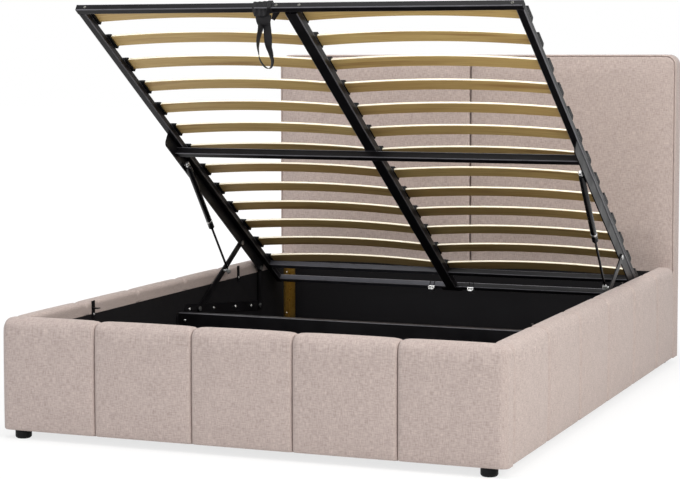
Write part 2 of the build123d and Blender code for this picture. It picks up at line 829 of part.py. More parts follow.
def make_frame_fasteners():
    """Bolts of the foot bar, and the zinc clamps whose wires hook over the end bar."""
    face = -bolt_head_height
    bolts = []
    places = list(centre_bolt_places)
    places += [sign * (frame_half_width - corner_bolt_inset) for sign in (-1, 1)]
    for x in places:
        plane = Plane((x, face, tube_height / 2), x_dir=(1, 0, 0), z_dir=(0, 1, 0))
        bolts.append(extrude(plane * RegularPolygon(bolt_head_radius, hex_sides), bolt_head_height))
    save("foot_bar_bolts", to_lifted(group(bolts)))
    clamps = []
    back = frame_length - tube_width
    front = back - clamp_wire
    top = tube_height + clamp_wire
    for sign in (-1, 1):
        x = sign * clamp_spacing / 2
        clamp = block(x - clamp_width / 2, x + clamp_width / 2, front, front + clamp_depth, -clamp_height, 0)
        clamp = chamfer(clamp.edges().filter_by(Axis.Y).sort_by(Axis.Z)[:2], clamp_corner)
        for side in (-1, 1):
            x0 = x + (side * clamp_wire_spacing - clamp_wire) / 2
            x1 = x0 + clamp_wire
            clamp += block(x0, x1, front, back, 0, top)
            clamp += block(x0, x1, back, back + clamp_wire_reach, tube_height, top)
        clamps.append(clamp)
    save("end_bar_clamps", to_lifted(group(clamps)))


make_box()
make_headboard()
make_floor()
make_glides()
make_cross_beam()
make_corner_brackets()
make_rest_tabs()
make_base_bars()
make_links()
make_lift_arms()
make_gas_struts()
make_frame()
make_slats()
make_strap()
make_frame_fasteners()

print("rear_pivot", *rear_pivot())
print("front_pivot", *front_pivot())
print("frame_pivot", *frame_pivot())
print("strut_top", *strut_top)
print("strut_foot", *strut_foot)
print("rear_link_turn", rear_link_closed - 90)
print("front_link_turn", front_link_closed - front_link_open)
print("frame_turn", open_angle - rear_link_closed + 90)
print("cylinder_turn", strut_closed - strut_open - open_angle)
print("rod_travel", strut_closed_length - strut_open_length)
print("strut_open", strut_open)
print("closed_frame_bottom", closed_frame_bottom)
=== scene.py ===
"""An upholstered double bed with a lifting slatted frame: its covers, finishes and studio."""
import json
import logging
import math
from collections.abc import Callable, Iterator
from contextlib import contextmanager
from dataclasses import dataclass
from enum import Enum

import bmesh
import bpy
from mathutils import Matrix, Vector, noise

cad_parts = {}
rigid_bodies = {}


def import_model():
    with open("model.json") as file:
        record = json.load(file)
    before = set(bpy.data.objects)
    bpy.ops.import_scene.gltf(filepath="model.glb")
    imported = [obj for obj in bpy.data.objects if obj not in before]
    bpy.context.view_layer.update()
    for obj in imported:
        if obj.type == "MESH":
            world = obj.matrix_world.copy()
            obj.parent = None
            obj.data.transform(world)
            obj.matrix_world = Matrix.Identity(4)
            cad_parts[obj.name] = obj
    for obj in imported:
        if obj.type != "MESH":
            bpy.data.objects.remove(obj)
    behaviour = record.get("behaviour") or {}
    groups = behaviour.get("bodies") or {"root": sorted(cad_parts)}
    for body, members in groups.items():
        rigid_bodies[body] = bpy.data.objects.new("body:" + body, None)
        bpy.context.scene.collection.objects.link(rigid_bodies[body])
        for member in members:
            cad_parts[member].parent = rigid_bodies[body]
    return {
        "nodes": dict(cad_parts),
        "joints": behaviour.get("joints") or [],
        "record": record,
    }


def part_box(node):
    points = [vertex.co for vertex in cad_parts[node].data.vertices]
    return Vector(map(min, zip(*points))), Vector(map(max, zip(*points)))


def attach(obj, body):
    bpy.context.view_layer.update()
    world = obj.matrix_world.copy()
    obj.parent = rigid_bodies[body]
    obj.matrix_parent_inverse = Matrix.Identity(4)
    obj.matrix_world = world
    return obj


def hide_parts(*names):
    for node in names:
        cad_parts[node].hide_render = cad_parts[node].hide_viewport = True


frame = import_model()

log = logging.getLogger("double_bed")
MM = 0.001
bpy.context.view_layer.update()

# The image that the camera frames, in pixels
IMAGE_WIDTH = 680
IMAGE_HEIGHT = 479

# Where the grain map holds the slats' edges, in metres up its second axis
EDGE_BAND = 20.0

# How far apart two corners of a CAD mesh may lie and still be one
SAME_CORNER = 0.005 * MM

# How much of a direction must lie along an axis to count as following it
ALONG = 0.9

# How long the covers swell, in frames
SWELL_FRAMES = 20

Profile = list[tuple[float, float]]
Triple = tuple[float, float, float]
Colour = tuple[float, float, float, float]
Test = Callable[[Vector, Vector], bool]
Socket = bpy.types.NodeSocket
Material = bpy.types.Material
Piece = bpy.types.Object


class Side(Enum):
    """A side of the bed, seen from its foot end."""

    LEFT = -1
    RIGHT = 1


class Crease(Enum):
    """The angle in degrees up to which a kind of piece is shaded smooth."""

    TURNED = 35
    RIGID = 40
    BENT = 50
    CLOTH = 60


class Pick(Enum):
    """What a selection takes."""

    FACES = "FACE"
    EDGES = "EDGE"


def linear(red: int, green: int, blue: int) -> Colour:
    """Turn a screen colour, from 0 to 255, into the linear colour that a shader takes."""
    channels = [c / 255 for c in (red, green, blue)]
    return (*[c / 12.92 if c <= 0.04045 else ((c + 0.055) / 1.055) ** 2.4 for c in channels], 1.0)


def shade(colour: Colour, factor: float) -> Colour:
    """Darken or lighten a linear colour by a factor."""
    return (*[min(1.0, c * factor) for c in colour[:3]], 1.0)


class NodeBench:
    """A node tree under construction."""

    def __init__(self, tree: bpy.types.NodeTree) -> None:
        """Keep the tree."""
        self.tree = tree

    def node(self, kind: str, inputs: dict[str | int, object] | None = None,
             **settings: object) -> bpy.types.Node:
        """Add a node, set its properties and feed its inputs.

        Args:
            kind: The node's Blender type.
            inputs: A socket to link or a constant to set, by the input's name or number.
            settings: Properties to set on it.

        Returns:
            The new node.
        """
        made = self.tree.nodes.new(kind)
        for key, value in settings.items():
            setattr(made, key, value)
        for key, value in (inputs or {}).items():
            if isinstance(value, Socket):
                self.join(value, made.inputs[key])
            else:
                made.inputs[key].default_value = value
        return made

    def join(self, source: Socket, target: Socket) -> None:
        """Link one socket to another."""
        self.tree.links.new(source, target)

    def place(self, uv: str = "", scale: Triple = (1, 1, 1)) -> Socket:
        """Give pattern coordinates in metres.

        Args:
            uv: The UV map to read, or nothing for object coordinates.
            scale: Repeats per metre on each axis.

        Returns:
            The mapping's vector socket.
        """
        if uv:
            source = self.node("ShaderNodeUVMap", uv_map=uv).outputs["UV"]
        else:
            source = self.node("ShaderNodeTexCoord").outputs["Object"]
        return self.node("ShaderNodeMapping", {"Scale": scale, "Vector": source}).outputs["Vector"]

    def noise(self, scale: float | Triple, detail: float = 3.0, rough: float = 0.5, uv: str = "") -> Socket:
        """Add a noise pattern.

        Args:
            scale: Repeats per metre, on all axes or on each.
            detail: How many finer layers it has.
            rough: How strong the finer layers are.
            uv: The UV map that it lies on, or nothing for object coordinates.

        Returns:
            The pattern's height.
        """
        vector = self.place(uv, scale if isinstance(scale, tuple) else (scale,) * 3)
        inputs = {"Vector": vector, "Scale": 1.0, "Detail": detail, "Roughness": rough}
        return self.node("ShaderNodeTexNoise", inputs).outputs["Fac"]

    def cells(self, size: float) -> bpy.types.Node:
        """Add a pattern of cells of a size in metres, on object coordinates."""
        return self.node("ShaderNodeTexVoronoi", {"Scale": 1 / size, "Vector": self.place()})

    def maths(self, operation: str, first: object, second: object) -> Socket:
        """Add a maths node whose inputs are sockets or numbers and give its value."""
        return self.node("ShaderNodeMath", {0: first, 1: second}, operation=operation).outputs[0]

    def weighed(self, *terms: tuple[Socket, float]) -> Socket:
        """Add patterns up.

        Args:
            terms: Each pattern and its weight.

        Returns:
            Their sum.
        """
        total, *others = [self.maths("MULTIPLY", pattern, weight) for pattern, weight in terms]
        for other in others:
            total = self.maths("ADD", total, other)
        return total

    def spread(self, value: Socket, low: float, high: float, to_low: float = 0.0,
               to_high: float = 1.0) -> Socket:
        """Map a value from one range to another, clamped."""
        ends = {"From Min": low, "From Max": high, "To Min": to_low, "To Max": to_high}
        return self.node("ShaderNodeMapRange", {"Value": value, **ends}).outputs["Result"]

    def blend(self, factor: Socket, first: object, second: object) -> Socket:
        """Mix two colours, each a socket or a constant, and give the colour."""
        return self.node("ShaderNodeMix", {0: factor, 6: first, 7: second}, data_type="RGBA").outputs[2]


class MaterialBench(NodeBench):
    """A node material under construction, with its shader."""

    def __init__(self, name: str) -> None:
        """Start a node material of that name."""
        self.material = bpy.data.materials.new(name)
        self.material.use_nodes = True
        super().__init__(self.material.node_tree)
        self.shader = self.tree.nodes["Principled BSDF"]

    def tint(self, factor: Socket, first: object, second: object) -> None:
        """Mix two colours into the shader's own."""
        self.join(self.blend(factor, first, second), self.shader.inputs["Base Color"])

    def dull(self, pattern: Socket, low: float, high: float) -> None:
        """Let a noise pattern drive the shader's roughness between two values."""
        self.join(self.spread(pattern, 0.3, 0.7, low, high), self.shader.inputs["Roughness"])

    def bump(self, height: Socket, strength: float, depth: float) -> None:
        """Give the shader a bump of a depth in metres."""
        made = self.node("ShaderNodeBump", {"Height": height, "Strength": strength, "Distance": depth})
        self.join(made.outputs["Normal"], self.shader.inputs["Normal"])

    def plain(self, **values: object) -> None:
        """Set constants on the shader's own sockets, with underscores for spaces."""
        for key, value in values.items():
            self.shader.inputs[key.replace("_", " ")].default_value = value


@dataclass(frozen=True)
class WovenLinen:
    """A heathered linen-look cover: warp, weft, slubs and soft mottling on its UV map."""

    name: str = "dusty_linen"
    light: Colour = linear(200, 185, 179)
    dark: Colour = linear(151, 136, 131)
    thread: float = 1.1 * MM
    slub: float = 3.0 * MM
    slub_length: float = 17 * MM
    mottling: Triple = (22, 22, 1)
    relief: float = 0.35 * MM

    def build(self) -> Material:
        """Make the material."""
        b = MaterialBench(self.name)
        per, slub, long = 1 / self.thread, 1 / self.slub, 1 / self.slub_length
        runs = ((per, long), (long, per), (slub, long), (long, slub))
        warp, weft, warp_slub, weft_slub = (b.noise((*run, 1), 2, uv="cloth") for run in runs)
        threads = b.weighed((warp, 0.5), (weft, 0.5))
        slubs = b.weighed((warp_slub, 0.5), (weft_slub, 0.5))
        tone = b.weighed((threads, 0.4), (slubs, 0.52), (b.noise(self.mottling, 4, uv="cloth"), 0.08))
        b.tint(b.spread(tone, 0.36, 0.64), self.dark, self.light)
        b.plain(Roughness=0.92, Specular_IOR_Level=0.18, Sheen_Weight=0.16, Sheen_Roughness=0.45)
        b.bump(b.maths("ADD", threads, b.maths("MULTIPLY", slubs, 0.5)), 0.55, self.relief)
        return b.material


@dataclass(frozen=True)
class HardFinish:
    """A hard finish: a fine grain in its relief, and patches in its colour and roughness."""

    name: str
    colour: Colour
    patch: Colour | None = None
    lighter: float = 1.5
    roughness: float = 0.3
    gloss: float = 0.5
    metal: float = 0.0
    grain: float | Triple = (900, 900, 60)
    grain_detail: float = 1
    patches: Triple = (55, 5, 0.65)
    patch_end: float = 0.65
    swing: tuple[float, float] = (-0.08, 0.14)
    relief: tuple[float, float] = (0.15, 0.05 * MM)

    def build(self) -> Material:
        """Make the material."""
        b = MaterialBench(self.name)
        patches = b.noise(*self.patches)
        patch = self.patch or shade(self.colour, self.lighter)
        b.tint(b.spread(patches, 0.35, self.patch_end), self.colour, patch)
        b.dull(patches, *(self.roughness + change for change in self.swing))
        b.plain(Specular_IOR_Level=self.gloss, Metallic=self.metal)
        b.bump(b.noise(self.grain, self.grain_detail), *self.relief)
        return b.material


@dataclass(frozen=True)
class PowderCoat(HardFinish):
    """Satin powder coat: a fine orange peel, with faint rubbed patches."""

    grain: float = 1 / (1.6 * MM)
    grain_detail: float = 2
    patches: Triple = (14, 4, 0.5)
    patch_end: float = 0.7
    swing: tuple[float, float] = (-0.06, 0.1)
    relief: tuple[float, float] = (0.25, 0.08 * MM)


@dataclass(frozen=True)
class MouldedPlastic(HardFinish):
    """Moulded plastic with a fine spark-eroded grain."""

    lighter: float = 1.35
    roughness: float = 0.46
    gloss: float = 0.1
    grain: float = 1 / (0.9 * MM)
    patches: Triple = (30, 3, 0.5)
    swing: tuple[float, float] = (-0.05, 0.08)
    relief: tuple[float, float] = (0.3, 0.08 * MM)


@dataclass(frozen=True)
class PlatedSteel(HardFinish):
    """Plated steel with cloudy plating and fine drawn lines."""

    metal: float = 1.0


@dataclass(frozen=True)
class BirchPly:
    """Lacquered laminated birch: long grain, darker streaks, and pale edges with their glue lines; the edges'
    near-white colour is partly the plies' own tone and partly a painted highlight.
    """

    name: str = "birch_laminate"
    light: Colour = linear(217, 192, 130)
    dark: Colour = linear(184, 150, 90)
    streak: Colour = linear(142, 104, 58)
    # Near-white edge colour: partly the plies' pale tone, partly a painted highlight
    edge: Colour = linear(248, 242, 222)
    glue: Colour = linear(206, 186, 146)
    grain: Triple = (5, 1 / (2.4 * MM), 1)
    streaks: Triple = (2.2, 42, 1)
    boards: Triple = (0.55, 0.4, 1)
    plies: Triple = (3, 1 / (1.3 * MM), 1)
    relief: float = 0.15 * MM

    def build(self) -> Material:
        """Make the material."""
        b = MaterialBench(self.name)
        fine = b.noise(self.grain, 4, 0.6, "grain")
        streaks = b.noise(self.streaks, 3, uv="grain")
        boards, plies = (b.noise(scale, 1, uv="grain") for scale in (self.boards, self.plies))
        face = b.blend(b.spread(fine, 0.36, 0.66), self.light, self.dark)
        face = b.blend(b.spread(streaks, 0.54, 0.72, 0.0, 0.8), face, self.streak)
        face = b.blend(b.spread(boards, 0.3, 0.7, 0.0, 0.5), face, shade(self.streak, 1.3))
        # The slats' edges take the near-white colour, partly a painted highlight
        edge = b.blend(b.spread(plies, 0.55, 0.68, 0.0, 0.55), self.edge, self.glue)
        across = b.node("ShaderNodeSeparateXYZ", {0: b.place("grain")})
        b.tint(b.maths("GREATER_THAN", across.outputs["Y"], EDGE_BAND / 2), face, edge)
        b.dull(fine, 0.42, 0.56)
        b.plain(Specular_IOR_Level=0.42, Coat_Weight=0.08, Coat_Roughness=0.35)
        b.bump(fine, 0.3, self.relief)
        return b.material


@dataclass(frozen=True)
class LiningFelt:
    """Thin black non-woven lining, pressed into a fine dot pattern."""

    name: str = "black_lining"
    colour: Colour = linear(17, 16, 18)
    dot: float = 2.2 * MM
    fibre: float = 260
    patches: float = 7
    relief: float = 0.12 * MM

    def build(self) -> Material:
        """Make the material."""
        b = MaterialBench(self.name)
        fibre = b.noise(self.fibre, 4, 0.6)
        b.tint(b.spread(fibre, 0.35, 0.7), self.colour, shade(self.colour, 1.6))
        b.dull(b.noise(self.patches, 3), 0.62, 0.8)
        b.plain(Specular_IOR_Level=0.16)
        b.bump(b.maths("ADD", b.cells(self.dot).outputs["Distance"], fibre), 0.3, self.relief)
        return b.material


@dataclass(frozen=True)
class Chipboard:
    """Raw particle board: pale chips of mixed size."""

    name: str = "raw_board"
    light: Colour = linear(196, 170, 130)
    dark: Colour = linear(140, 112, 78)
    chip: float = 4 * MM
    dust: float = 380
    relief: float = 0.2 * MM

    def build(self) -> Material:
        """Make the material."""
        b = MaterialBench(self.name)
        fine = b.noise(self.dust, 4)
        tone = b.weighed((b.cells(self.chip).outputs["Color"], 0.6), (fine, 0.4))
        b.tint(b.spread(tone, 0.2, 0.8), self.dark, self.light)
        b.plain(Roughness=0.85)
        b.bump(fine, 0.4, self.relief)
        return b.material


@dataclass(frozen=True)
class RibbedWebbing:
    """Black webbing: ribs across its width and fine fibres, on its UV map."""

    name: str = "black_webbing"
    colour: Colour = linear(17, 16, 18)
    rib: float = 1.5 * MM
    fibre: Triple = (300, 1500, 1)
    relief: float = 0.3 * MM

    def build(self) -> Material:
        """Make the material."""
        b = MaterialBench(self.name)
        place = b.place("cloth", (math.pi / (10 * self.rib), 1 / self.rib, 1))
        ribs = b.node("ShaderNodeTexWave", {"Scale": 1.0, "Distortion": 0.6, "Vector": place},
                      wave_profile="SIN", bands_direction="X")
        fibre = b.noise(self.fibre, 3, uv="cloth")
        b.tint(b.spread(fibre, 0.3, 0.7), self.colour, shade(self.colour, 1.8))
        b.plain(Roughness=0.6, Sheen_Weight=0.04, Sheen_Roughness=0.4, Specular_IOR_Level=0.2)
        b.bump(b.maths("ADD", ribs.outputs["Fac"], b.maths("MULTIPLY", fibre, 0.5)), 0.6, self.relief)
        return b.material


class Finishes:
    """Every finish of the bed, built once."""

    def __init__(self) -> None:
        """Build the materials."""
        self.linen = WovenLinen().build()
        self.powder = PowderCoat("black_powder_coat", linear(15, 14, 16), roughness=0.36, gloss=0.13).build()
        self.enamel = PowderCoat("strut_enamel", linear(10, 10, 12), roughness=0.2, gloss=0.3,
                                 grain=1 / (0.8 * MM)).build()
        # Lighter, glossier coat for the tubes' rounded corners: a painted highlight along each edge
        self.painted_highlight_edge = PowderCoat("rubbed_edge_coat", linear(80, 79, 84), gloss=0.4).build()
        # Grey coat for the left halves of the head and end bars: painted light on their lit side
        self.painted_light_coat = PowderCoat("grey_bar_coat", linear(58, 58, 64), roughness=0.4, gloss=0.3).build()
        self.birch = BirchPly().build()
        self.plastic = MouldedPlastic("moulded_black", linear(17, 17, 18)).build()
        self.lining = LiningFelt().build()
        self.floor_panel = LiningFelt("black_floor_panel", linear(22, 21, 23), 3 * MM).build()
        self.board = Chipboard().build()
        self.webbing = RibbedWebbing().build()
        self.yellow_zinc = PlatedSteel("yellow_zinc", linear(196, 170, 96), linear(170, 140, 84)).build()
        self.bright_zinc = PlatedSteel("bright_zinc", linear(214, 214, 212), linear(176, 176, 176)).build()
        self.dull_zinc = PlatedSteel("dull_zinc", linear(128, 127, 122), linear(98, 97, 94),
                                     roughness=0.5).build()
        self.chrome = PlatedSteel("polished_rod", linear(70, 70, 72), linear(48, 48, 50),
                                  roughness=0.18).build()

    def by_slot(self) -> dict[str, Material]:
        """Give the finish of each material slot of the record."""
        return {
            "upholstery": self.linen, "carcass_board": self.lining, "black_board": self.lining,
            "floor_board": self.floor_panel, "black_steel": self.powder, "zinc_steel": self.yellow_zinc,
            "bolt_steel": self.bright_zinc, "birch": self.birch, "black_plastic": self.plastic,
            "strut_black": self.enamel, "rod_steel": self.chrome, "webbing": self.webbing,
        }


def dress(piece: Piece, material: Material) -> None:
    """Give a piece one finish in all its slots.

    Args:
        piece: The piece.
        material: Its finish.
    """
    if piece.material_slots:
        for place in piece.material_slots:
            place.material = material
    else:
        piece.data.materials.append(material)


def new_object(name: str, mesh: bpy.types.Mesh) -> Piece:
    """Put a mesh into the scene as an object at the origin.

    Args:
        name: The object's name.
        mesh: Its mesh.

    Returns:
        The object.
    """
    piece = bpy.data.objects.new(name, mesh)
    bpy.context.scene.collection.objects.link(piece)
    return piece


def activate(piece: Piece) -> None:
    """Select one object alone and make it the active one.

    Args:
        piece: The object.
    """
    bpy.ops.object.select_all(action="DESELECT")
    piece.select_set(True)
    bpy.context.view_layer.objects.active = piece


def smooth(piece: Piece, crease: Crease) -> None:
    """Shade a piece smooth up to an angle between its faces."""
    activate(piece)
    bpy.ops.object.shade_smooth_by_angle(angle=math.radians(crease.value))


def loft(name: str, rings: list[list[Vector]], free: list[float] | None = None) -> Piece:
    """Make a closed tube through rings of points, with a UV map in metres.

    Args:
        name: The piece's name.
        rings: Rings of as many points each, in metres.
        free: How free each point is to swell, ring after ring, for inflate.

    Returns:
        The new object, with U along the tube and V round it.
    """
    count = len(rings[0])
    mesh = bmesh.new()
    give = mesh.verts.layers.float.new("free") if free else None
    layer = mesh.loops.layers.uv.new("cloth")
    grid = [[mesh.verts.new(point) for point in ring] for ring in rings]
    if free:
        for vertex, value in zip((vertex for ring in grid for vertex in ring), free):
            vertex[give] = value
    middle = [sum(ring, Vector()) / count for ring in rings]
    along = [0.0]
    for a, b in zip(middle, middle[1:]):
        along.append(along[-1] + (b - a).length)
    widest = max(rings, key=lambda ring: sum((ring[k] - ring[k - 1]).length for k in range(count)))
    around = [0.0]
    for k in range(count):
        around.append(around[-1] + (widest[(k + 1) % count] - widest[k]).length)
    for i in range(len(rings) - 1):
        for k in range(count):
            corners = [(i, k), (i + 1, k), (i + 1, k + 1), (i, k + 1)]
            face = mesh.faces.new([grid[r][c % count] for r, c in corners])
            for loop, (r, c) in zip(face.loops, corners):
                loop[layer].uv = (along[r], around[c])
    for ring, end in ((grid[0][::-1], 0), (grid[-1], -1)):
        face = mesh.faces.new(ring)
        for loop in face.loops:
            offset = loop.vert.co - middle[end]
            loop[layer].uv = (offset.x + offset.y, offset.z)
    bmesh.ops.remove_doubles(mesh, verts=mesh.verts, dist=0.02 * MM)
    bmesh.ops.recalc_face_normals(mesh, faces=mesh.faces)
    data = bpy.data.meshes.new(name)
    mesh.to_mesh(data)
    mesh.free()
    return new_object(name, data)


def arc(centre: tuple[float, float], radius: float, start: float, end: float, steps: int) -> Profile:
    """Give points on an arc, both ends included.

    Args:
        centre: The arc's centre.
        radius: Its radius.
        start: The first angle in degrees.
        end: The last angle in degrees.
        steps: The number of steps between them.

    Returns:
        The points.
    """
    points = []
    for k in range(steps + 1):
        turn = math.radians(start + (end - start) * k / steps)
        points.append((centre[0] + radius * math.cos(turn), centre[1] + radius * math.sin(turn)))
    return points


def line(start: tuple[float, float], end: tuple[float, float], step: float) -> Profile:
    """Give points inside a straight run, without its ends."""
    count = max(1, round(math.dist(start, end) / step))
    return [(start[0] + (end[0] - start[0]) * k / count, start[1] + (end[1] - start[1]) * k / count)
            for k in range(1, count)]


def inflate(piece: Piece, pressure: float, cap: float) -> None:
    """Swell a cover by cloth simulation, held where it is sewn or stapled.

    Args:
        piece: The cover, whose mesh says how free each point is.
        pressure: The pressure inside it.
        cap: The furthest that a point may move, in metres.
    """
    loose = [item.value for item in piece.data.attributes["free"].data]
    piece.data.attributes.remove(piece.data.attributes["free"])
    group = piece.vertex_groups.new(name="held")
    for index, free in enumerate(loose):
        if free < 1:
            group.add([index], 1 - free, "REPLACE")
    rest = [v.co.copy() for v in piece.data.vertices]
    cloth = piece.modifiers.new("cloth", "CLOTH")
    settings = {"quality": 4, "mass": 0.4, "tension_stiffness": 12, "compression_stiffness": 12,
                "shear_stiffness": 6, "bending_stiffness": 2, "use_pressure": True,
                "uniform_pressure_force": pressure, "vertex_group_mass": "held", "pin_stiffness": 20}
    for key, value in settings.items():
        setattr(cloth.settings, key, value)
    cloth.settings.effector_weights.gravity = 0
    cloth.collision_settings.use_collision = False
    for step in range(1, SWELL_FRAMES + 1):
        bpy.context.scene.frame_set(step)
    graph = bpy.context.evaluated_depsgraph_get()
    swollen = piece.evaluated_get(graph).to_mesh()
    moved = [v.co.copy() for v in swollen.vertices]
    piece.evaluated_get(graph).to_mesh_clear()
    piece.modifiers.remove(cloth)
    bpy.context.scene.frame_set(1)
    for index, vertex in enumerate(piece.data.vertices):
        shift = moved[index] - rest[index]
        if shift.length > cap:
            shift *= cap / shift.length
        vertex.co = rest[index] + shift * loose[index]
    piece.vertex_groups.remove(group)
    furthest = max((new - old).length for new, old in zip(moved, rest))
    log.info("%s swollen by up to %.1f mm", piece.name, furthest / MM)


@contextmanager
def editing(piece: Piece) -> Iterator[None]:
    """Open a piece in edit mode with nothing selected, and close it again at the end."""
    activate(piece)
    bpy.ops.object.mode_set(mode="EDIT")
    bpy.ops.mesh.select_mode(type="FACE")
    bpy.ops.mesh.select_all(action="DESELECT")
    try:
        yield
    finally:
        bpy.ops.object.mode_set(mode="OBJECT")


def pick(kind: Pick, test: Test) -> None:
    """Select the open piece's faces or edges that pass a test, and no others.

    Args:
        kind: What is selected.
        test: Takes an item's middle, and a face's normal or an edge's direction.
    """
    bpy.ops.mesh.select_mode(type=kind.value)
    bpy.ops.mesh.select_all(action="DESELECT")
    data = bpy.context.edit_object.data
    mesh = bmesh.from_edit_mesh(data)
    for item in mesh.faces if kind is Pick.FACES else mesh.edges:
        if kind is Pick.FACES:
            middle, way = item.calc_center_median(), item.normal
        else:
            start, end = (vertex.co for vertex in item.verts)
            middle, way = (start + end) / 2, (end - start).normalized()
        if test(middle, way):
            item.select_set(True)
    bmesh.update_edit_mesh(data)


def along(axis: int) -> Test:
    """Give the test for items whose normal or direction follows an axis."""
    return lambda middle, way: abs(way[axis]) > ALONG


def bevel(test: Test, width: float, segments: int = 3) -> None:
    """Round the open piece's edges that pass a test."""
    pick(Pick.EDGES, test)
    bpy.ops.mesh.bevel(offset=width, segments=segments, affect="EDGES")


def hollow(test: Test, wall: float, depth: Triple) -> None:
    """Hollow the open piece out behind its faces that pass a test.

    Args:
        test: The test.
        wall: The width of the wall that stays round each mouth.
        depth: The way from the mouth to the bottom.
    """
    pick(Pick.FACES, test)
    bpy.ops.mesh.inset(thickness=wall)
    bpy.ops.mesh.extrude_region_move(TRANSFORM_OT_translate={"value": depth})


def applied(piece: Piece, kind: str, **settings: object) -> None:
    """Add a modifier to a piece and apply it.

    Args:
        piece: The piece.
        kind: The modifier's Blender type.
        settings: Properties to set on it.
    """
    activate(piece)
    modifier = piece.modifiers.new(kind.lower(), kind)
    for key, value in settings.items():
        setattr(modifier, key, value)
    bpy.ops.object.modifier_apply(modifier=modifier.name)


def crisp(piece: Piece) -> None:
    """Shade a rigid piece smooth, with its large faces kept flat."""
    smooth(piece, Crease.RIGID)
    applied(piece, "WEIGHTED_NORMAL", keep_sharp=True, weight=90)


def rounded(piece: Piece, width: float) -> None:
    """Round a rigid piece's sharp edges and shade it."""
    applied(piece, "BEVEL", width=width, segments=2, limit_method="ANGLE", angle_limit=math.radians(30))
    crisp(piece)


def add_block(name: str, low: Vector, high: Vector) -> Piece:
    """Add a cube primitive between two corners.

    Args:
        name: The piece's name.
        low: Its lowest corner.
        high: Its highest corner.

    Returns:
        The piece, with its place in its mesh.
    """
    low, high = Vector(low), Vector(high)
    bpy.ops.object.select_all(action="DESELECT")
    bpy.ops.mesh.primitive_cube_add(size=1, location=(low + high) / 2)
    piece = bpy.context.object
    piece.name = name
    piece.scale = high - low
    bpy.ops.object.transform_apply(location=True, rotation=True, scale=True)
    return piece


def tube(name: str, low: Vector, high: Vector, axis: int, wall: float, corner: float) -> Piece:
    """Model a rectangular steel tube, open at both ends, with rounded corners.

    Args:
        name: The tube's name.
        low: Its lowest corner.
        high: Its highest corner.
        axis: The axis along which it runs, 0 to 2.
        wall: The thickness of its wall.
        corner: The radius of its corners.

    Returns:
        The tube.
    """
    piece = add_block(name, low, high)
    with editing(piece):
        pick(Pick.FACES, along(axis))
        bpy.ops.mesh.delete(type="FACE")
        bevel(along(axis), corner)
    applied(piece, "SOLIDIFY", thickness=wall, offset=-1.0, use_even_offset=True, use_rim=True)
    return piece


def corner_faces(piece: Piece, axes: Matrix) -> list[int]:
    """List a tube's faces that lie on its rounded corners, slanting to its axes."""
    back = axes.to_3x3().inverted()
    return [face.index for face in piece.data.polygons if max(map(abs, back @ face.normal)) < 0.98]


def smooth_run(marks: tuple[Triple, ...], steps: int) -> list[Vector]:
    """Run a smooth curve through rows of three numbers.

    Args:
        marks: The rows.
        steps: The number of steps from each row to the next.

    Returns:
        The rows with those between them.
    """
    rows = [Vector(mark) for mark in marks]
    run = []
    for n in range(len(rows) - 1):
        a, b, c, d = rows[max(n - 1, 0)], rows[n], rows[n + 1], rows[min(n + 2, len(rows) - 1)]
        bend, twist = 2 * a - 5 * b + 4 * c - d, 3 * b - a - 3 * c + d
        for t in (k / steps for k in range(steps)):
            run.append((2 * b + (c - a) * t + bend * t**2 + twist * t**3) / 2)
    return run + [rows[-1]]


def spun(name: str, outline: Profile, sides: int, place: Matrix) -> Piece:
    """Turn an outline about its axis, as on a lathe.

    Args:
        name: The piece's name.
        outline: Radius and height of each point, from one end of the axis to the other.
        sides: Steps in a full turn.
        place: Where the axis and the outline's zero height go.

    Returns:
        The turned piece.
    """
    data = bpy.data.meshes.new(name)
    data.from_pydata([(r, 0, h) for r, h in outline], [(k, k + 1) for k in range(len(outline) - 1)], [])
    piece = new_object(name, data)
    with editing(piece):
        bpy.ops.mesh.select_all(action="SELECT")
        bpy.ops.mesh.spin(steps=sides, angle=math.tau, center=(0, 0, 0), axis=(0, 0, 1))
        bpy.ops.mesh.select_all(action="SELECT")
        bpy.ops.mesh.remove_doubles(threshold=0.01 * MM)
        bpy.ops.mesh.normals_make_consistent(inside=False)
    piece.data.transform(place)
    return piece


def wire(name: str, points: list[Vector], radius: float) -> Piece:
    """Bend a round wire through a row of points, with closed ends.

    Args:
        name: The wire's name.
        points: Its course.
        radius: Its radius.

    Returns:
        The wire.
    """
    curve = bpy.data.curves.new(name, "CURVE")
    curve.dimensions = "3D"
    curve.bevel_depth = radius
    curve.bevel_resolution = 2
    curve.use_fill_caps = True
    run = curve.splines.new("POLY")
    run.points.add(len(points) - 1)
    for point, spot in zip(run.points, points):
        point.co = (*spot, 1)
    piece = bpy.data.objects.new(name, curve)
    bpy.context.scene.collection.objects.link(piece)
    activate(piece)
    bpy.ops.object.convert(target="MESH")
    piece = bpy.context.object
    smooth(piece, Crease.BENT)
    return piece


def twin(piece: Piece, name: str, move: Matrix) -> Piece:
    """Copy a piece with a mesh of its own.

    Args:
        piece: The piece.
        name: The copy's name.
        move: How the copy is moved.

    Returns:
        The copy.
    """
    data = piece.data.copy()
    data.transform(move)
    return new_object(name, data)


def joined(name: str, pieces: list[Piece]) -> Piece:
    """Join pieces into one object.

    Args:
        name: The object's name.
        pieces: The pieces.

    Returns:
        The object.
    """
    bpy.ops.object.select_all(action="DESELECT")
    for piece in pieces:
        piece.select_set(True)
    bpy.context.view_layer.objects.active = pieces[0]
    if len(pieces) > 1:
        bpy.ops.object.join()
    pieces[0].name = name
    return pieces[0]


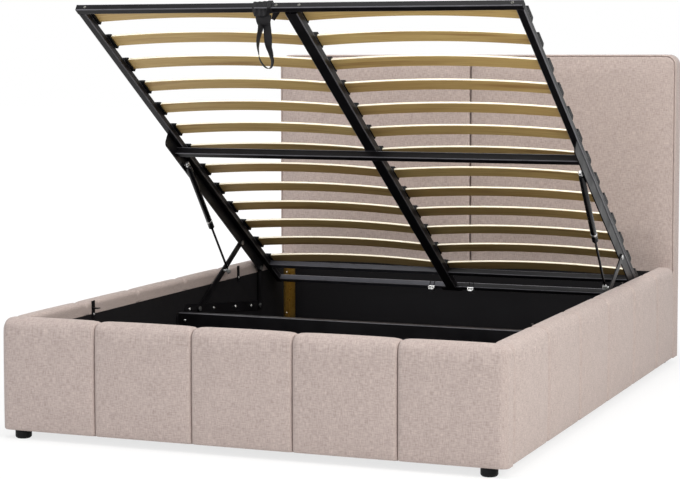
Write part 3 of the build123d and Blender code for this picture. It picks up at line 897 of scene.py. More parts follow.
def softened(node: str, name: str, width: float) -> Piece:
    """Copy a CAD node's shape, merge its faces and round its edges.

    Args:
        node: The node to copy.
        name: The copy's name.
        width: The width of the rounding.

    Returns:
        The copy, with a mesh of its own.
    """
    piece = new_object(name, bpy.data.objects[node].data.copy())
    with editing(piece):
        bpy.ops.mesh.select_all(action="SELECT")
        bpy.ops.mesh.customdata_custom_splitnormals_clear()
        bpy.ops.mesh.remove_doubles(threshold=SAME_CORNER)
        bpy.ops.mesh.dissolve_limited(angle_limit=math.radians(1))
    rounded(piece, width)
    return piece


def solids(node: str, axes: Matrix = Matrix.Identity(4)) -> list[tuple[Vector, Vector]]:
    """List the corners of each separate solid of a CAD node.

    Args:
        node: The node.
        axes: The axes in which the corners are given.

    Returns:
        Lowest and highest corner of each solid, in their order across and then along.
    """
    mesh = bmesh.new()
    mesh.from_mesh(bpy.data.objects[node].data)
    bmesh.ops.remove_doubles(mesh, verts=mesh.verts, dist=SAME_CORNER)
    back = axes.inverted()
    found = []
    left = set(mesh.verts)
    while left:
        reached, waiting = set(), [left.pop()]
        while waiting:
            vertex = waiting.pop()
            reached.add(vertex)
            near = {edge.other_vert(vertex) for edge in vertex.link_edges} & left
            left -= near
            waiting.extend(near)
        spots = [back @ vertex.co for vertex in reached]
        found.append((Vector(tuple(map(min, zip(*spots)))), Vector(tuple(map(max, zip(*spots))))))
    mesh.free()
    return sorted(found, key=lambda pair: (round(pair[0].x, 3), round(pair[0].y, 3)))


def turned(spot: Vector | Triple, degrees: float, axis: str) -> Matrix:
    """Give axes at a spot, turned about one of the axes."""
    return Matrix.Translation(spot) @ Matrix.Rotation(math.radians(degrees), 4, axis)


def ramp(value: float, start: float, width: float) -> float:
    """Rise from 0 to 1 over a width from a start."""
    return min(1.0, max(0.0, value - start) / width)


class RaisedAxes:
    """The lifted frame's own axes: across the bed, along it from the foot end, up from its underside."""

    tilt: float = 33.0

    def __init__(self) -> None:
        """Find the axes from the lift joint and the foot bar."""
        pivot = Vector(next(joint["pos_m"] for joint in frame["joints"] if joint["name"] == "lift"))
        tilted = turned(pivot, -self.tilt, "X")
        low, _ = solids("foot_bar", tilted)[0]
        self.matrix = tilted @ Matrix.Translation((0, low.y, low.z))

    def solids(self, node: str) -> list[tuple[Vector, Vector]]:
        """Corners of each solid of a node in these axes."""
        return solids(node, self.matrix)


class Body(Enum):
    """The moving bodies of the bed."""

    BASE = "base"
    REAR_LINKS = "rear_links"
    FRONT_LINKS = "front_links"
    CYLINDERS = "gas_cylinders"
    RODS = "piston_rods"
    FRAME = "slat_frame"


class Workshop:
    """Finishing steps that every sub-assembly shares."""

    def __init__(self, finishes: Finishes, axes: RaisedAxes) -> None:
        """Keep the finishes and the lifted frame's axes."""
        self.finishes = finishes
        self.slots = finishes.by_slot()
        self.axes = axes

    def raised(self, name: str, pieces: list[Piece]) -> Piece:
        """Join pieces that were modelled in the lifted frame's axes, and put them into place.

        Args:
            name: The joined piece's name.
            pieces: The pieces.

        Returns:
            The joined piece.
        """
        whole = joined(name, pieces)
        whole.data.transform(self.axes.matrix)
        return whole

    def stand_in(self, node: str, name: str, edge: float, body: Body, slot: str = "black_steel") -> Piece:
        """Let a copy of a CAD node with rounded edges stand for it.

        Args:
            node: The node.
            name: The copy's name.
            edge: The width of the rounding.
            body: The body that it rides on.
            slot: The record's material slot.

        Returns:
            The copy.
        """
        piece = softened(node, name, edge)
        self.settle(piece, body, slot, node)
        return piece

    def settle(self, piece: Piece, body: Body, slot: str, *nodes: str,
               finish: Material | None = None, crease: Crease | None = None) -> None:
        """Dress a piece, put it on its body and let it stand for its solids.

        Args:
            piece: The finished piece.
            body: The body that it rides on.
            slot: The record's material slot.
            nodes: The CAD nodes that it stands for.
            finish: Its material, where it isn't the slot's own.
            crease: How it is shaded, where it isn't shaded yet.
        """
        if crease:
            smooth(piece, crease)
        dress(piece, finish or self.slots[slot])
        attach(piece, body.value)
        if nodes:
            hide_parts(*nodes)
        log.info("%s: %d faces", piece.name, len(piece.data.polygons))

    def brighten(self, piece: Piece, test: Callable[[Vector], bool]) -> None:
        """Give bright zinc plating to a dressed piece's faces whose middle passes a test."""
        chosen = [face.index for face in piece.data.polygons if test(face.center)]
        self.coat(piece, self.finishes.bright_zinc, chosen)

    def coat(self, piece: Piece, finish: Material, faces: list[int]) -> None:
        """Give a dressed piece's faces a second finish.

        Args:
            piece: The piece.
            finish: The second finish.
            faces: The faces' numbers.
        """
        piece.data.materials.append(finish)
        for index in faces:
            piece.data.polygons[index].material_index = len(piece.data.materials) - 1


@dataclass
class Fastener:
    """Screws and bolts, turned about an axis that points out of the head."""

    radius: float = 5 * MM
    height: float = 3 * MM
    recess_share: float = 0.42
    washer: float = 1.45
    washer_height: float = 0.8 * MM
    crown: float = 0.1 * MM
    sides: int = 20

    def round_head(self, name: str, place: Matrix) -> Piece:
        """Model a domed head with a drive recess, on a flat washer.

        Args:
            name: Its name.
            place: Where it sits, with Z out of the head.

        Returns:
            The head.
        """
        wide, thin = self.radius * self.washer, self.washer_height
        dome = [(self.radius * math.cos(math.radians(t)), thin + self.height * math.sin(math.radians(t)))
                for t in (0, 20, 40, 58)]
        top = dome[-1][1] + self.crown
        recess = self.radius * self.recess_share
        outline = [(0.0, 0.0), (wide, 0.0), (wide, thin * 0.7), (wide - thin * 0.3, thin), *dome]
        outline += [(recess, top), (recess * 0.8, top - self.height * 0.5), (0.0, top - self.height * 0.55)]
        piece = spun(name, outline, self.sides, place)
        smooth(piece, Crease.TURNED)
        return piece


@dataclass
class Upholstery:
    """Shared sizes of the padded covers."""

    seam_depth: float = 16 * MM
    crease: float = 12 * MM
    slot: float = 1.6 * MM
    lip: float = 0.3
    crown: float = 2.5 * MM
    crown_reach: float = 34 * MM
    sink: float = 6 * MM
    pucker: float = 0.5 * MM
    pucker_reach: float = 22 * MM
    ripple: float = 0.5 * MM
    step: float = 13 * MM
    crease_steps: tuple[float, ...] = (0.18, 0.3, 0.5, 0.75)
    swell_power: float = 2.2
    pressure: float = 1.5
    furthest: float = 4 * MM

    def creased(self, away: float) -> float:
        """Give how full the padding is.

        Args:
            away: The distance from the nearest seam.

        Returns:
            The fullness, from 0 to 1.
        """
        if away < self.slot:
            return (1 - self.lip) * max(0.0, 2 * away / self.slot - 1)
        beyond = min(1.0, (away - self.slot) / (self.crease - self.slot))
        return 1 - self.lip * (1 - beyond) ** self.swell_power

    def crowned(self, away: float, width: float) -> float:
        """Give the share of a panel's crown at a distance from its seam."""
        edge = max(0.0, min(away, width - away))
        return 1 - (1 - min(1.0, edge / self.crown_reach)) ** self.swell_power

    def stations(self, seams: list[float]) -> list[tuple[float, float, float, float]]:
        """List the places of the rings along a channelled cover.

        Args:
            seams: The places of the seams and of both ends.

        Returns:
            Place, fullness, crown share and distance to the nearest seam of each ring.
        """
        near = [0.0, self.slot * 0.5, self.slot] + [self.crease * share for share in self.crease_steps]
        rings = []
        for start, end in zip(seams, seams[1:]):
            width = end - start
            count = round((width - 2 * self.crease) / self.step)
            inner = [self.crease + (width - 2 * self.crease) * k / count for k in range(count + 1)]
            for away in near + inner + [width - a for a in near[:0:-1]]:
                edge = min(away, width - away)
                rings.append((start + away, self.creased(edge), self.crowned(away, width), edge))
        rings.append((seams[-1], self.creased(0.0), 0.0, 0.0))
        return rings

    def wrinkle(self, along: float, around: float, edge: float) -> float:
        """Give the small puckers beside a seam and the slack of the cloth.

        Args:
            along: The place along the cover.
            around: The place round it.
            edge: The distance to the nearest seam.

        Returns:
            How far the cloth stands out, in metres.
        """
        fold = noise.noise(Vector((along * 9, around * 70, 3.1)))
        slack = noise.noise(Vector((along * 11, around * 13, 7.7)))
        return self.pucker * fold * math.exp(-edge / self.pucker_reach) + self.ripple * slack


@dataclass
class RailCover(Upholstery):
    """The padded cover of one rail, over a board on its inner side."""

    thickness: float = 60 * MM
    height: float = 318 * MM
    board: float = 18 * MM
    turn_in: float = 30 * MM
    top_round: float = 25 * MM
    inner_round: float = 13 * MM
    bottom_round: float = 8 * MM
    end_round: float = 24 * MM
    top_crown: float = 4 * MM
    rise: float = 6 * MM
    bulge: float = 0.6 * MM
    wall_steps: int = 23

    def section(self, full: float, crown: float, inset: float, pocket: bool) -> tuple[Profile, list[bool]]:
        """Outline of the cover, outwards from the inner face and up from its bottom.

        Args:
            full: How full the padding is.
            crown: The share of the panel's crown.
            inset: How far a rounded end draws the outline in.
            pocket: Whether the cover leaves room for the board here.

        Returns:
            The points, and which of them are free to swell.
        """
        face = self.thickness - self.seam_depth * (1 - full) - inset
        crest = self.height + self.rise + self.top_crown * crown - self.sink * (1 - full) - inset
        low, high = self.bottom_round, crest - self.top_round
        free: list[bool] = []
        points: Profile = []

        def run(part: Profile, loose: bool) -> None:
            points.extend(part)
            free.extend([loose] * len(part))

        run([(self.board, 0.0)] + line((self.board, 0.0), (face - low, 0.0), self.step), False)
        run(arc((face - low, low), low, -90, 0, 4), False)
        wall = []
        for k in range(1, self.wall_steps):
            share = k / self.wall_steps
            bulge = (self.bulge + self.crown * crown) * math.sin(math.pi * share) ** 0.6
            wall.append((face + bulge, low + (high - low) * share))
        run(wall, True)
        run(arc((face - self.top_round, high), self.top_round, 0, 90, 8), True)
        inner = self.inner_round
        flat_start, flat_end = (face - self.top_round, crest), (inner, crest)
        run(line(flat_start, flat_end, self.step / 2), True)
        run(arc((inner, crest - inner), inner, 90, 180, 6), True)
        foot = self.height - self.turn_in
        run(line((0.0, crest - inner), (0.0, foot), self.step / 2), False)
        run([(0.0, foot)] + line((0.0, foot), (self.board, foot), self.step) + [(self.board, foot)], False)
        run(line((self.board, foot), (self.board, 0.0), self.step * 3), False)
        if not pocket:
            points = [(0.0 if abs(t - self.board) < 0.01 * MM and z <= foot else t, z) for t, z in points]
        return points, free

    def end_ring(self, place: float, inwards: int, away: float, width: float) -> tuple[float, ...]:
        """Give the ring at a distance from a rounded end's tip, with its inset."""
        inset = self.end_round * (1 - math.sqrt(1 - (1 - away / self.end_round) ** 2))
        return place + inwards * away, 1.0, self.crowned(away, width), 1.0, inset

    def rounded(self, place: float, inwards: int, width: float) -> list[tuple[float, ...]]:
        """Rings of a rounded end, from its tip inwards, with their insets."""
        return [self.end_ring(place, inwards, self.end_round * (1 - math.cos(math.radians(10 * k))), width)
                for k in range(9)]

    def pocketed(self, rings: list[tuple[float, ...]], near: tuple[float, ...],
                 far: tuple[float, ...]) -> list[tuple[float, ...]]:
        """Say which rings hold the board, and close its pocket with a wall at both of the board's ends.

        Args:
            rings: Every ring of the cover.
            near: The ring at the board's first end.
            far: The ring at its other end.

        Returns:
            The rings, each with whether it leaves room for the board.
        """
        before = [(*ring, False) for ring in rings if ring[0] < near[0]]
        within = [(*ring, True) for ring in rings if near[0] < ring[0] < far[0]]
        beyond = [(*ring, False) for ring in rings if ring[0] > far[0]]
        return before + [(*near, False), (*near, True)] + within + [(*far, True), (*far, False)] + beyond

    def build(self, name: str, seams: list[float], round_ends: bool,
              placed: Callable[[float, float, float], Vector]) -> Piece:
        """Make one cover.

        Args:
            name: The piece's name.
            seams: Places of the seams and both ends along the rail.
            round_ends: Whether both ends show and are rounded.
            placed: Gives the point for a place along, outwards and up.

        Returns:
            The cover.
        """
        rings = [(s, full, crown, edge, 0.0) for s, full, crown, edge in self.stations(seams)]
        if round_ends:
            first, last = seams[0] + self.end_round, seams[-1] - self.end_round
            rings = [(s, 1.0 if s < seams[0] + 0.1 or s > seams[-1] - 0.1 else full, crown, edge, inset)
                     for s, full, crown, edge, inset in rings if first <= s <= last]
            width = seams[1] - seams[0]
            rings = self.rounded(seams[0], 1, width) + rings + self.rounded(seams[-1], -1, width)[::-1]
            rings = self.pocketed(rings, self.end_ring(seams[0], 1, self.board, width),
                                  self.end_ring(seams[-1], -1, self.board, width))
        else:
            rings = [(*ring, True) for ring in rings]
        loops, loose = [], []
        for s, full, crown, edge, inset, pocket in rings:
            points, free = self.section(full, crown, inset, pocket)
            loop = []
            for (t, z), give in zip(points, free):
                swell = self.wrinkle(s, z - t, edge) if give and not inset else 0.0
                loop.append(placed(s, t + swell, z + swell * 0.3))
            hold = min(1.0, edge / (3 * self.crease)) if not inset else 0.0
            loops.append(loop)
            loose.extend(hold if give else 0.0 for give in free)
        piece = loft(name, loops, loose)
        inflate(piece, self.pressure, self.furthest)
        return piece


@dataclass
class PaddedBox:
    """The footboard's and side rails' padded covers."""

    shop: Workshop
    panel: float = 346 * MM
    foot_panels: int = 5
    side_crease: float = 20 * MM
    side_lip: float = 0.45
    fill: float = 0.85

    def build(self) -> None:
        """Build and dress the three covers."""
        cover = RailCover()
        foot_low, foot_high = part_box("footboard_board")
        side_low, side_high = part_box("right_rail_board")
        bottom, start = foot_low[2], foot_high[1]
        inner, head = side_low[0], side_high[1]
        outer = inner + cover.thickness
        width = 2 * outer / self.foot_panels
        seams = [-outer + width * n for n in range(self.foot_panels + 1)]
        foot = cover.build("footboard_cover", seams, True, lambda s, t, z: Vector((s, start - t, bottom + z)))
        self.finish(foot, "footboard_upholstery")
        count = int((head - start) // self.panel)
        seams = [start + self.panel * n for n in range(count + 1)] + [head]
        cover = RailCover(crease=self.side_crease, lip=self.side_lip)
        for side in Side:
            name = side.name.lower()
            rail = cover.build(f"{name}_rail_cover", seams, False,
                               lambda s, t, z, way=side.value: Vector((way * (inner + t), s, bottom + z)))
            self.finish(rail, f"{name}_rail_upholstery")

    def finish(self, piece: Piece, node: str) -> None:
        """Dress a cover and let it stand for its solid."""
        self.shop.settle(piece, Body.BASE, "upholstery", node, crease=Crease.CLOTH)


@dataclass(kw_only=True)
class HeadboardCover(Upholstery):
    """The headboard's cover: two wide panels and a boxed edge round a board that its back shows."""

    shop: Workshop
    seam_depth: float = 26 * MM
    slot: float = 2.6 * MM
    lip: float = 0.16
    crown: float = 3 * MM
    proud: float = 6 * MM
    lift: float = 7 * MM
    corner: float = 40 * MM
    edge_round: float = 5 * MM
    boxing: float = 7.5 * MM
    boxing_width: float = 1.6 * MM
    boxing_depth: float = 5 * MM
    shoulder: float = 16 * MM
    shoulder_drop: float = 3 * MM
    back_round: float = 4 * MM
    proud_from: float = 0.34
    proud_over: float = 0.05
    free_from: float = 0.36
    free_over: float = 0.08
    rows: int = 46
    fill: float = 0.8
    pressure: float = 1.2
    furthest: float = 5 * MM
    step: float = 22 * MM
    near_edge: tuple[float, ...] = (0.0, 1.2, 2.6, 4.2, 5.6, 6.7, 7.5, 8.3, 9.4, 11, 14, 18, 24, 32)

    def build(self) -> None:
        """Build and dress the cover."""
        low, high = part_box("headboard_upholstery")
        board_low, board_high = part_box("headboard_board")
        self.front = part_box("right_rail_board")[1][1]
        self.back = board_high[1]
        self.board_front = board_low[1]
        self.bottom = board_low[2]
        self.top = high[2] + self.lift
        self.board_top = board_high[2]
        self.pocket = board_high[0]
        self.half = high[0]
        loops, loose = [], []
        for x, full, crown, edge, pocket in self.rings():
            loop, free = self.section(x, full, crown, edge, pocket)
            loops.append(loop)
            loose.extend(free)
        piece = loft("headboard_cover", loops, loose)
        inflate(piece, self.pressure, self.furthest)
        self.shop.settle(piece, Body.BASE, "upholstery", "headboard_upholstery", crease=Crease.CLOTH)

    def rings(self) -> list[tuple[float, float, float, float, bool]]:
        """Place, fullness, crown, distance to the middle seam and pocket of each ring."""
        rings = [(-self.half + d * MM, 1.0, 0.0, 1.0, False) for d in self.near_edge]
        last = rings[-1][0]
        for x, full, crown, edge in self.stations([-self.half + self.edge_round, 0.0]):
            if x > last + self.step / 2:
                near_end = x < -self.half / 2
                rings.append((x, 1.0 if near_end else full, crown, 1.0 if near_end else edge, False))
        split = -self.pocket
        rings = [r for r in rings if r[0] < split - 0.2 * MM] + [
            (split, 1.0, 0.0, 1.0, False), (split, 1.0, 0.0, 1.0, True)
        ] + [(*r[:4], True) for r in rings if r[0] > split + 0.2 * MM]
        return rings + [(-r[0], *r[1:]) for r in rings[-2::-1]]

    def crest(self, x: float) -> float:
        """Give the height of the rounded outline at a place across the bed."""
        inside = max(0.0, abs(x) - (self.half - self.corner))
        return self.top - self.corner + math.sqrt(max(0.0, self.corner**2 - inside**2))

    def from_edge(self, x: float, z: float) -> float:
        """Give a point's distance to the rounded outline.

        Args:
            x: Its place across the bed.
            z: Its height.

        Returns:
            The distance, towards the middle.
        """
        across = abs(x) - (self.half - self.corner)
        up = z - (self.top - self.corner)
        if across > 0 and up > 0:
            return self.corner - math.hypot(across, up)
        return self.corner - max(across, up)

    def sunk(self, away: float) -> float:
        """Give how far the front lies behind its full face.

        Args:
            away: The distance from the rounded outline.

        Returns:
            The depth of edge, boxing seam and shoulder together.
        """
        inside = max(0.0, self.edge_round - away)
        rim = self.edge_round - math.sqrt(max(0.0, self.edge_round**2 - inside**2))
        groove = self.boxing_depth * math.exp(-(((away - self.boxing) / self.boxing_width) ** 2))
        drawn = self.shoulder_drop * max(0.0, 1 - away / (self.boxing + self.shoulder)) ** 2
        return rim + groove + drawn

    def section(self, x: float, full: float, crown: float, edge: float,
                pocket: bool) -> tuple[list[Vector], list[float]]:
        """Outline of the cover at one place across the bed.

        Args:
            x: The place.
            full: How full the padding is.
            crown: The share of the panel's crown.
            edge: The distance to the middle seam.
            pocket: Whether the cover leaves room for the board here.

        Returns:
            The points, and how free each of them is to swell.
        """
        crest = self.crest(x) - self.sink * (1 - full) * 0.6
        points: Profile = []
        free: list[float] = []
        hold = min(1.0, edge / (3 * self.crease))
        top_row = crest - self.near_edge[-1] * MM
        heights = [self.bottom + (top_row - self.bottom) * k / self.rows for k in range(self.rows)]
        heights += [crest - d * MM for d in reversed(self.near_edge)]
        for z in heights:
            away = self.from_edge(x, z)
            share = (z - self.bottom) / (crest - self.bottom)
            calm = ramp(away, self.boxing, self.shoulder)
            lap = calm * ramp(z - self.bottom, self.free_from, self.free_over)
            above = ramp(z - self.bottom, self.proud_from, self.proud_over)
            bulge = self.proud * above + self.crown * crown * math.sin(math.pi * share) ** 0.5 * lap
            swell = self.wrinkle(x, z, edge) * lap
            depth = self.sunk(max(0.0, away)) + self.seam_depth * (1 - full) * min(1.0, 0.25 + calm)
            points.append((self.front + depth - bulge - swell, z))
            free.append(hold * lap)
        back_edge = self.back - self.back_round
        rim_start = points[-1][0]
        top = line((rim_start, crest), (back_edge, crest), self.step) + [(back_edge, crest)]
        top += [(self.back, crest - self.back_round)]
        rim = min(self.board_top, crest - 1.5 * self.back_round)
        depth = self.board_front if pocket else self.back
        top += [(self.back, rim), (depth, rim), (depth, self.bottom)]
        points.extend(top)
        free.extend([0.0] * len(top))
        return [Vector((x, y, z)) for y, z in points], free


@dataclass
class SlatDeck:
    """Bowed slats in two columns, and the plastic holders at their ends."""

    shop: Workshop
    thickness: float = 8 * MM
    edge_round: float = 2.4 * MM
    cuts: int = 27
    holder_wall: float = 3.2 * MM
    end_wall: float = 4 * MM
    side_height: float = 13.6 * MM
    holder_round: float = 1.6 * MM
    centre_half: float = 20.5 * MM
    finger: float = 2.6 * MM
    finger_gap: float = 2.2 * MM
    finger_reach: float = 10 * MM
    finger_height: float = 7 * MM
    grain_shift: tuple[float, float] = (1.37, 0.23)
    edge_facing: float = 0.85

    def build(self) -> None:
        """Build every slat and holder."""
        nodes = [node for node in sorted(frame["nodes"]) if node.startswith("slat_pair")]
        for row, node in enumerate(nodes):
            halves = [self.slat(f"slat_half_{n}", low, high, 2 * row + n)
                      for n, (low, high) in enumerate(self.shop.axes.solids(node))]
            pair = self.shop.raised(f"slats_{row + 1:02d}", halves)
            crisp(pair)
            self.shop.settle(pair, Body.FRAME, "birch", node)
        self.holders("side_slat_holders", "side_holders")
        self.holders("centre_slat_holders", "centre_holders")

    def slat(self, name: str, low: Vector, high: Vector, number: int) -> Piece:
        """Model one slat: a board with rounded long edges, bowed along its length.

        Args:
            name: The slat's name.
            low: Lowest corner of its solid.
            high: Highest corner of its solid.
            number: The slat's number, which sets its piece of grain.

        Returns:
            The slat, in the lifted frame's axes.
        """
        piece = add_block(name, low, (high.x, high.y, low.z + self.thickness))
        with editing(piece):
            bevel(along(0), self.edge_round)
            pick(Pick.EDGES, along(0))
            bpy.ops.mesh.subdivide(number_cuts=self.cuts)
        middle, half = (low.x + high.x) / 2, (high.x - low.x) / 2
        bow = high.z - low.z - self.thickness
        while piece.data.uv_layers:
            piece.data.uv_layers.remove(piece.data.uv_layers[0])
        grain = piece.data.uv_layers.new(name="grain")
        start = Vector([number * shift for shift in self.grain_shift])
        for face in piece.data.polygons:
            on_edge = abs(face.normal.y) > self.edge_facing
            for index in face.loop_indices:
                spot = piece.data.vertices[piece.data.loops[index].vertex_index].co
                across = EDGE_BAND + spot.z if on_edge else start.y + spot.y - low.y
                grain.data[index].uv = (start.x + spot.x, across)
        for vertex in piece.data.vertices:
            vertex.co.z += bow * (1 - ((vertex.co.x - middle) / half) ** 2)
        return piece

    def holders(self, node: str, name: str) -> None:
        """Model one kind of holder, with a socket towards each slat, and copy it to its places.

        Args:
            node: The CAD node that they stand for.
            name: The piece's name.
        """
        made: list[Piece] = []
        patterns: dict[tuple[int, ...], tuple[Piece, Vector]] = {}
        for number, (low, high) in enumerate(self.shop.axes.solids(node)):
            middle = (low.x + high.x) / 2
            mouths = (-1, 1) if abs(middle) < (high.x - low.x) / 2 else ((1,) if middle < 0 else (-1,))
            if len(mouths) == 1:
                high.z = low.z + self.side_height
            else:
                low.x, high.x = -self.centre_half, self.centre_half
            if mouths in patterns:
                pattern, first = patterns[mouths]
                made.append(twin(pattern, f"holder_{number}", Matrix.Translation(low - first)))
            else:
                made.append(self.holder(f"holder_{number}", low, high, mouths))
                patterns[mouths] = (made[-1], low)
        row = self.shop.raised(name, made)
        rounded(row, self.holder_round / 2)
        self.shop.settle(row, Body.FRAME, "black_plastic", node)

    def holder(self, name: str, low: Vector, high: Vector, mouths: tuple[int, ...]) -> Piece:
        """Model one holder: a cap, its sockets, and a spring finger where it has one mouth.

        Args:
            name: Its name.
            low: Its lowest corner.
            high: Its highest corner.
            mouths: The ways across the bed that its sockets face.

        Returns:
            The holder.
        """
        cap = add_block(name, low, high)
        depth = (high.x - low.x - self.end_wall) / len(mouths)
        with editing(cap):
            bevel(lambda middle, way: abs(way.x) > ALONG and middle.z > low.z + self.holder_wall,
                  self.holder_round * 2)
            for mouth in mouths:
                hollow(lambda middle, normal: normal.x * mouth > ALONG, self.holder_wall,
                       (-mouth * depth, 0, 0))
        parts = [cap]
        for mouth in mouths if len(mouths) == 1 else ():
            edge = high.x if mouth > 0 else low.x
            start, end = edge - mouth * self.finger_reach, edge + mouth * self.finger_gap
            stem = start + mouth * self.finger
            foot = low.y - self.finger_gap - self.finger
            z0 = low.z + self.finger
            for x, y in ((end, low.y - self.finger_gap), (stem, low.y + self.finger / 3)):
                parts.append(add_block("finger", (min(start, x), foot, z0),
                                       (max(start, x), y, z0 + self.finger_height)))
        return joined(name, parts)


@dataclass
class RaisedFrame:
    """The welded tube frame, its end caps, bolts, weld beads and clamps."""

    shop: Workshop
    wall: float = 1.5 * MM
    corner: float = 2.6 * MM
    cap: float = 1.4 * MM
    cap_round: float = 0.56 * MM
    weld: float = 2.2 * MM
    bolt_share: float = 0.6
    ripple_pitch: float = 1.6 * MM
    ripple: float = 0.2
    ripple_turn: float = 2.4
    clamp_round: float = 5 * MM
    clamp_recess: float = 6 * MM
    clamp_wall: float = 3.5 * MM
    clamp_wire: float = 1.4 * MM
    clamp_bend: float = 5 * MM
    clamp_edge: float = 0.8 * MM
    clamp_gap: float = 0.2 * MM
    clamp_foot: float = 1 * MM
    clamp_wire_share: float = 0.36

    def build(self) -> None:
        """Build the tubes and their trim."""
        for node in ("foot_bar", "left_side_tube", "right_side_tube", "centre_tube", "cross_bar", "head_bar",
                     "end_bar"):
            axis = 1 if node.endswith("tube") else 0
            tubes = [tube(f"{node}_{n}", low, high, axis, self.wall, self.corner)
                     for n, (low, high) in enumerate(self.shop.axes.solids(node))]
            whole = self.shop.raised(f"{node}_steel", tubes)
            crisp(whole)
            self.shop.settle(whole, Body.FRAME, "black_steel", node)
            # The rounded corners take the lighter coat, a painted highlight along the edges
            self.shop.coat(whole, self.shop.finishes.painted_highlight_edge, corner_faces(whole, self.shop.axes.matrix))
            # The bars' left halves take the grey coat, painted light on their lit side
            if node in ("head_bar", "end_bar"):
                plain = [face.index for face in whole.data.polygons
                         if face.center.x < 0 and not face.material_index]
                self.shop.coat(whole, self.shop.finishes.painted_light_coat, plain)
        self.end_caps()
        self.welds()
        self.bolts()
        self.clamps()
        self.shop.stand_in("end_bar_bracket", "end_bar_angle", self.clamp_edge, Body.FRAME)

    def end_caps(self) -> None:
        """Close the foot bar's and side tubes' open ends with plastic caps."""
        caps = []
        low, high = self.shop.axes.solids("foot_bar")[0]
        for x, way in ((low.x, 1), (high.x, -1)):
            near, far = sorted((x, x + way * self.cap))
            caps.append(add_block("cap", (near, low.y, low.z), (far, high.y, high.z)))
        for node in ("left_side_tube", "right_side_tube"):
            low, high = self.shop.axes.solids(node)[0]
            near, far = high.y - self.cap, high.y + self.cap
            caps.append(add_block("cap", (low.x, near, low.z), (high.x, far, high.z)))
        row = self.shop.raised("tube_end_caps", caps)
        rounded(row, self.cap_round)
        self.shop.settle(row, Body.FRAME, "black_plastic")

    def welds(self) -> None:
        """Lay weld beads where the centre tube and the head bars meet the tubes that carry them."""
        centre_low, centre_high = self.shop.axes.solids("centre_tube")[0]
        foot_low, foot_high = self.shop.axes.solids("foot_bar")[0]
        runs = [((x, foot_high.y, foot_low.z), (x, foot_high.y, foot_high.z))
                for x in (centre_low.x, centre_high.x)]
        cross_low, cross_high = self.shop.axes.solids("cross_bar")[0]
        for y in (cross_low.y, cross_high.y):
            runs.append(((centre_low.x, y, centre_low.z), (centre_high.x, y, centre_low.z)))
        for low, high in self.shop.axes.solids("head_bar"):
            runs += [((x, low.y, low.z), (x, high.y, low.z)) for x in (low.x, high.x)]
        beads = []
        for number, (start, end) in enumerate(runs):
            start, end = Vector(start), Vector(end)
            count = max(3, round((end - start).length / self.ripple_pitch))
            spots = [start.lerp(end, k / count) for k in range(count + 1)]
            bead = wire(f"bead_{number}", spots, self.weld)
            for vertex in bead.data.vertices:
                nearest = min(range(len(spots)), key=lambda k: (spots[k] - vertex.co).length_squared)
                ripple = 1 - self.ripple + self.ripple * math.sin(self.ripple_turn * nearest)
                vertex.co = spots[nearest] + (vertex.co - spots[nearest]) * ripple
            beads.append(bead)
        self.shop.settle(self.shop.raised("frame_welds", beads), Body.FRAME, "black_steel")

    def bolts(self) -> None:
        """Put a domed bolt on each bolt place of the foot bar."""
        heads = []
        for number, (low, high) in enumerate(self.shop.axes.solids("foot_bar_bolts")):
            bolt = Fastener((high.z - low.z) / 2 * self.bolt_share, high.y - low.y)
            place = turned(((low.x + high.x) / 2, high.y, (low.z + high.z) / 2), 90, "X")
            heads.append(bolt.round_head(f"head_{number}", place))
        self.shop.settle(self.shop.raised("foot_bar_bolt_heads", heads), Body.FRAME, "bolt_steel",
                         "foot_bar_bolts", finish=self.shop.finishes.dull_zinc)

    def clamps(self) -> None:
        """Model the forked zinc clamps under the end bar and the wires that hook over it."""
        bodies, wires = [], []
        bar_low, bar_high = self.shop.axes.solids("end_bar")[0]
        for number, (low, high) in enumerate(self.shop.axes.solids("end_bar_clamps")):
            body = add_block(f"clamp_{number}", low, (high.x, high.y, bar_low.z - self.clamp_gap))
            middle = (low.x + high.x) / 2
            with editing(body):
                bevel(lambda spot, way: abs(way.y) > ALONG and spot.z < low.z + self.clamp_foot,
                      self.clamp_round, 4)
                hollow(lambda spot, normal: normal.y < -ALONG, self.clamp_wall, (0, self.clamp_recess, 0))
            rounded(body, self.clamp_edge)
            bodies.append(body)
            for side in (-1, 1):
                x = middle + side * (high.x - low.x) * self.clamp_wire_share
                y, top, bend = bar_low.y - self.clamp_wire, bar_high.z + self.clamp_wire, self.clamp_bend
                over = arc((y + bend, top - bend), bend, 180, 90, 6)
                spots = [Vector((x, y, low.z + bend))] + [Vector((x, a, b)) for a, b in over]
                spots.append(Vector((x, (bar_low.y + bar_high.y) / 2, top)))
                wires.append(wire(f"clamp_wire_{number}_{side}", spots, self.clamp_wire))
        clips = self.shop.raised("end_bar_clips", bodies)
        self.shop.settle(clips, Body.FRAME, "bolt_steel", "end_bar_clamps")
        self.shop.settle(self.shop.raised("end_bar_clip_wires", wires), Body.FRAME, "black_steel")


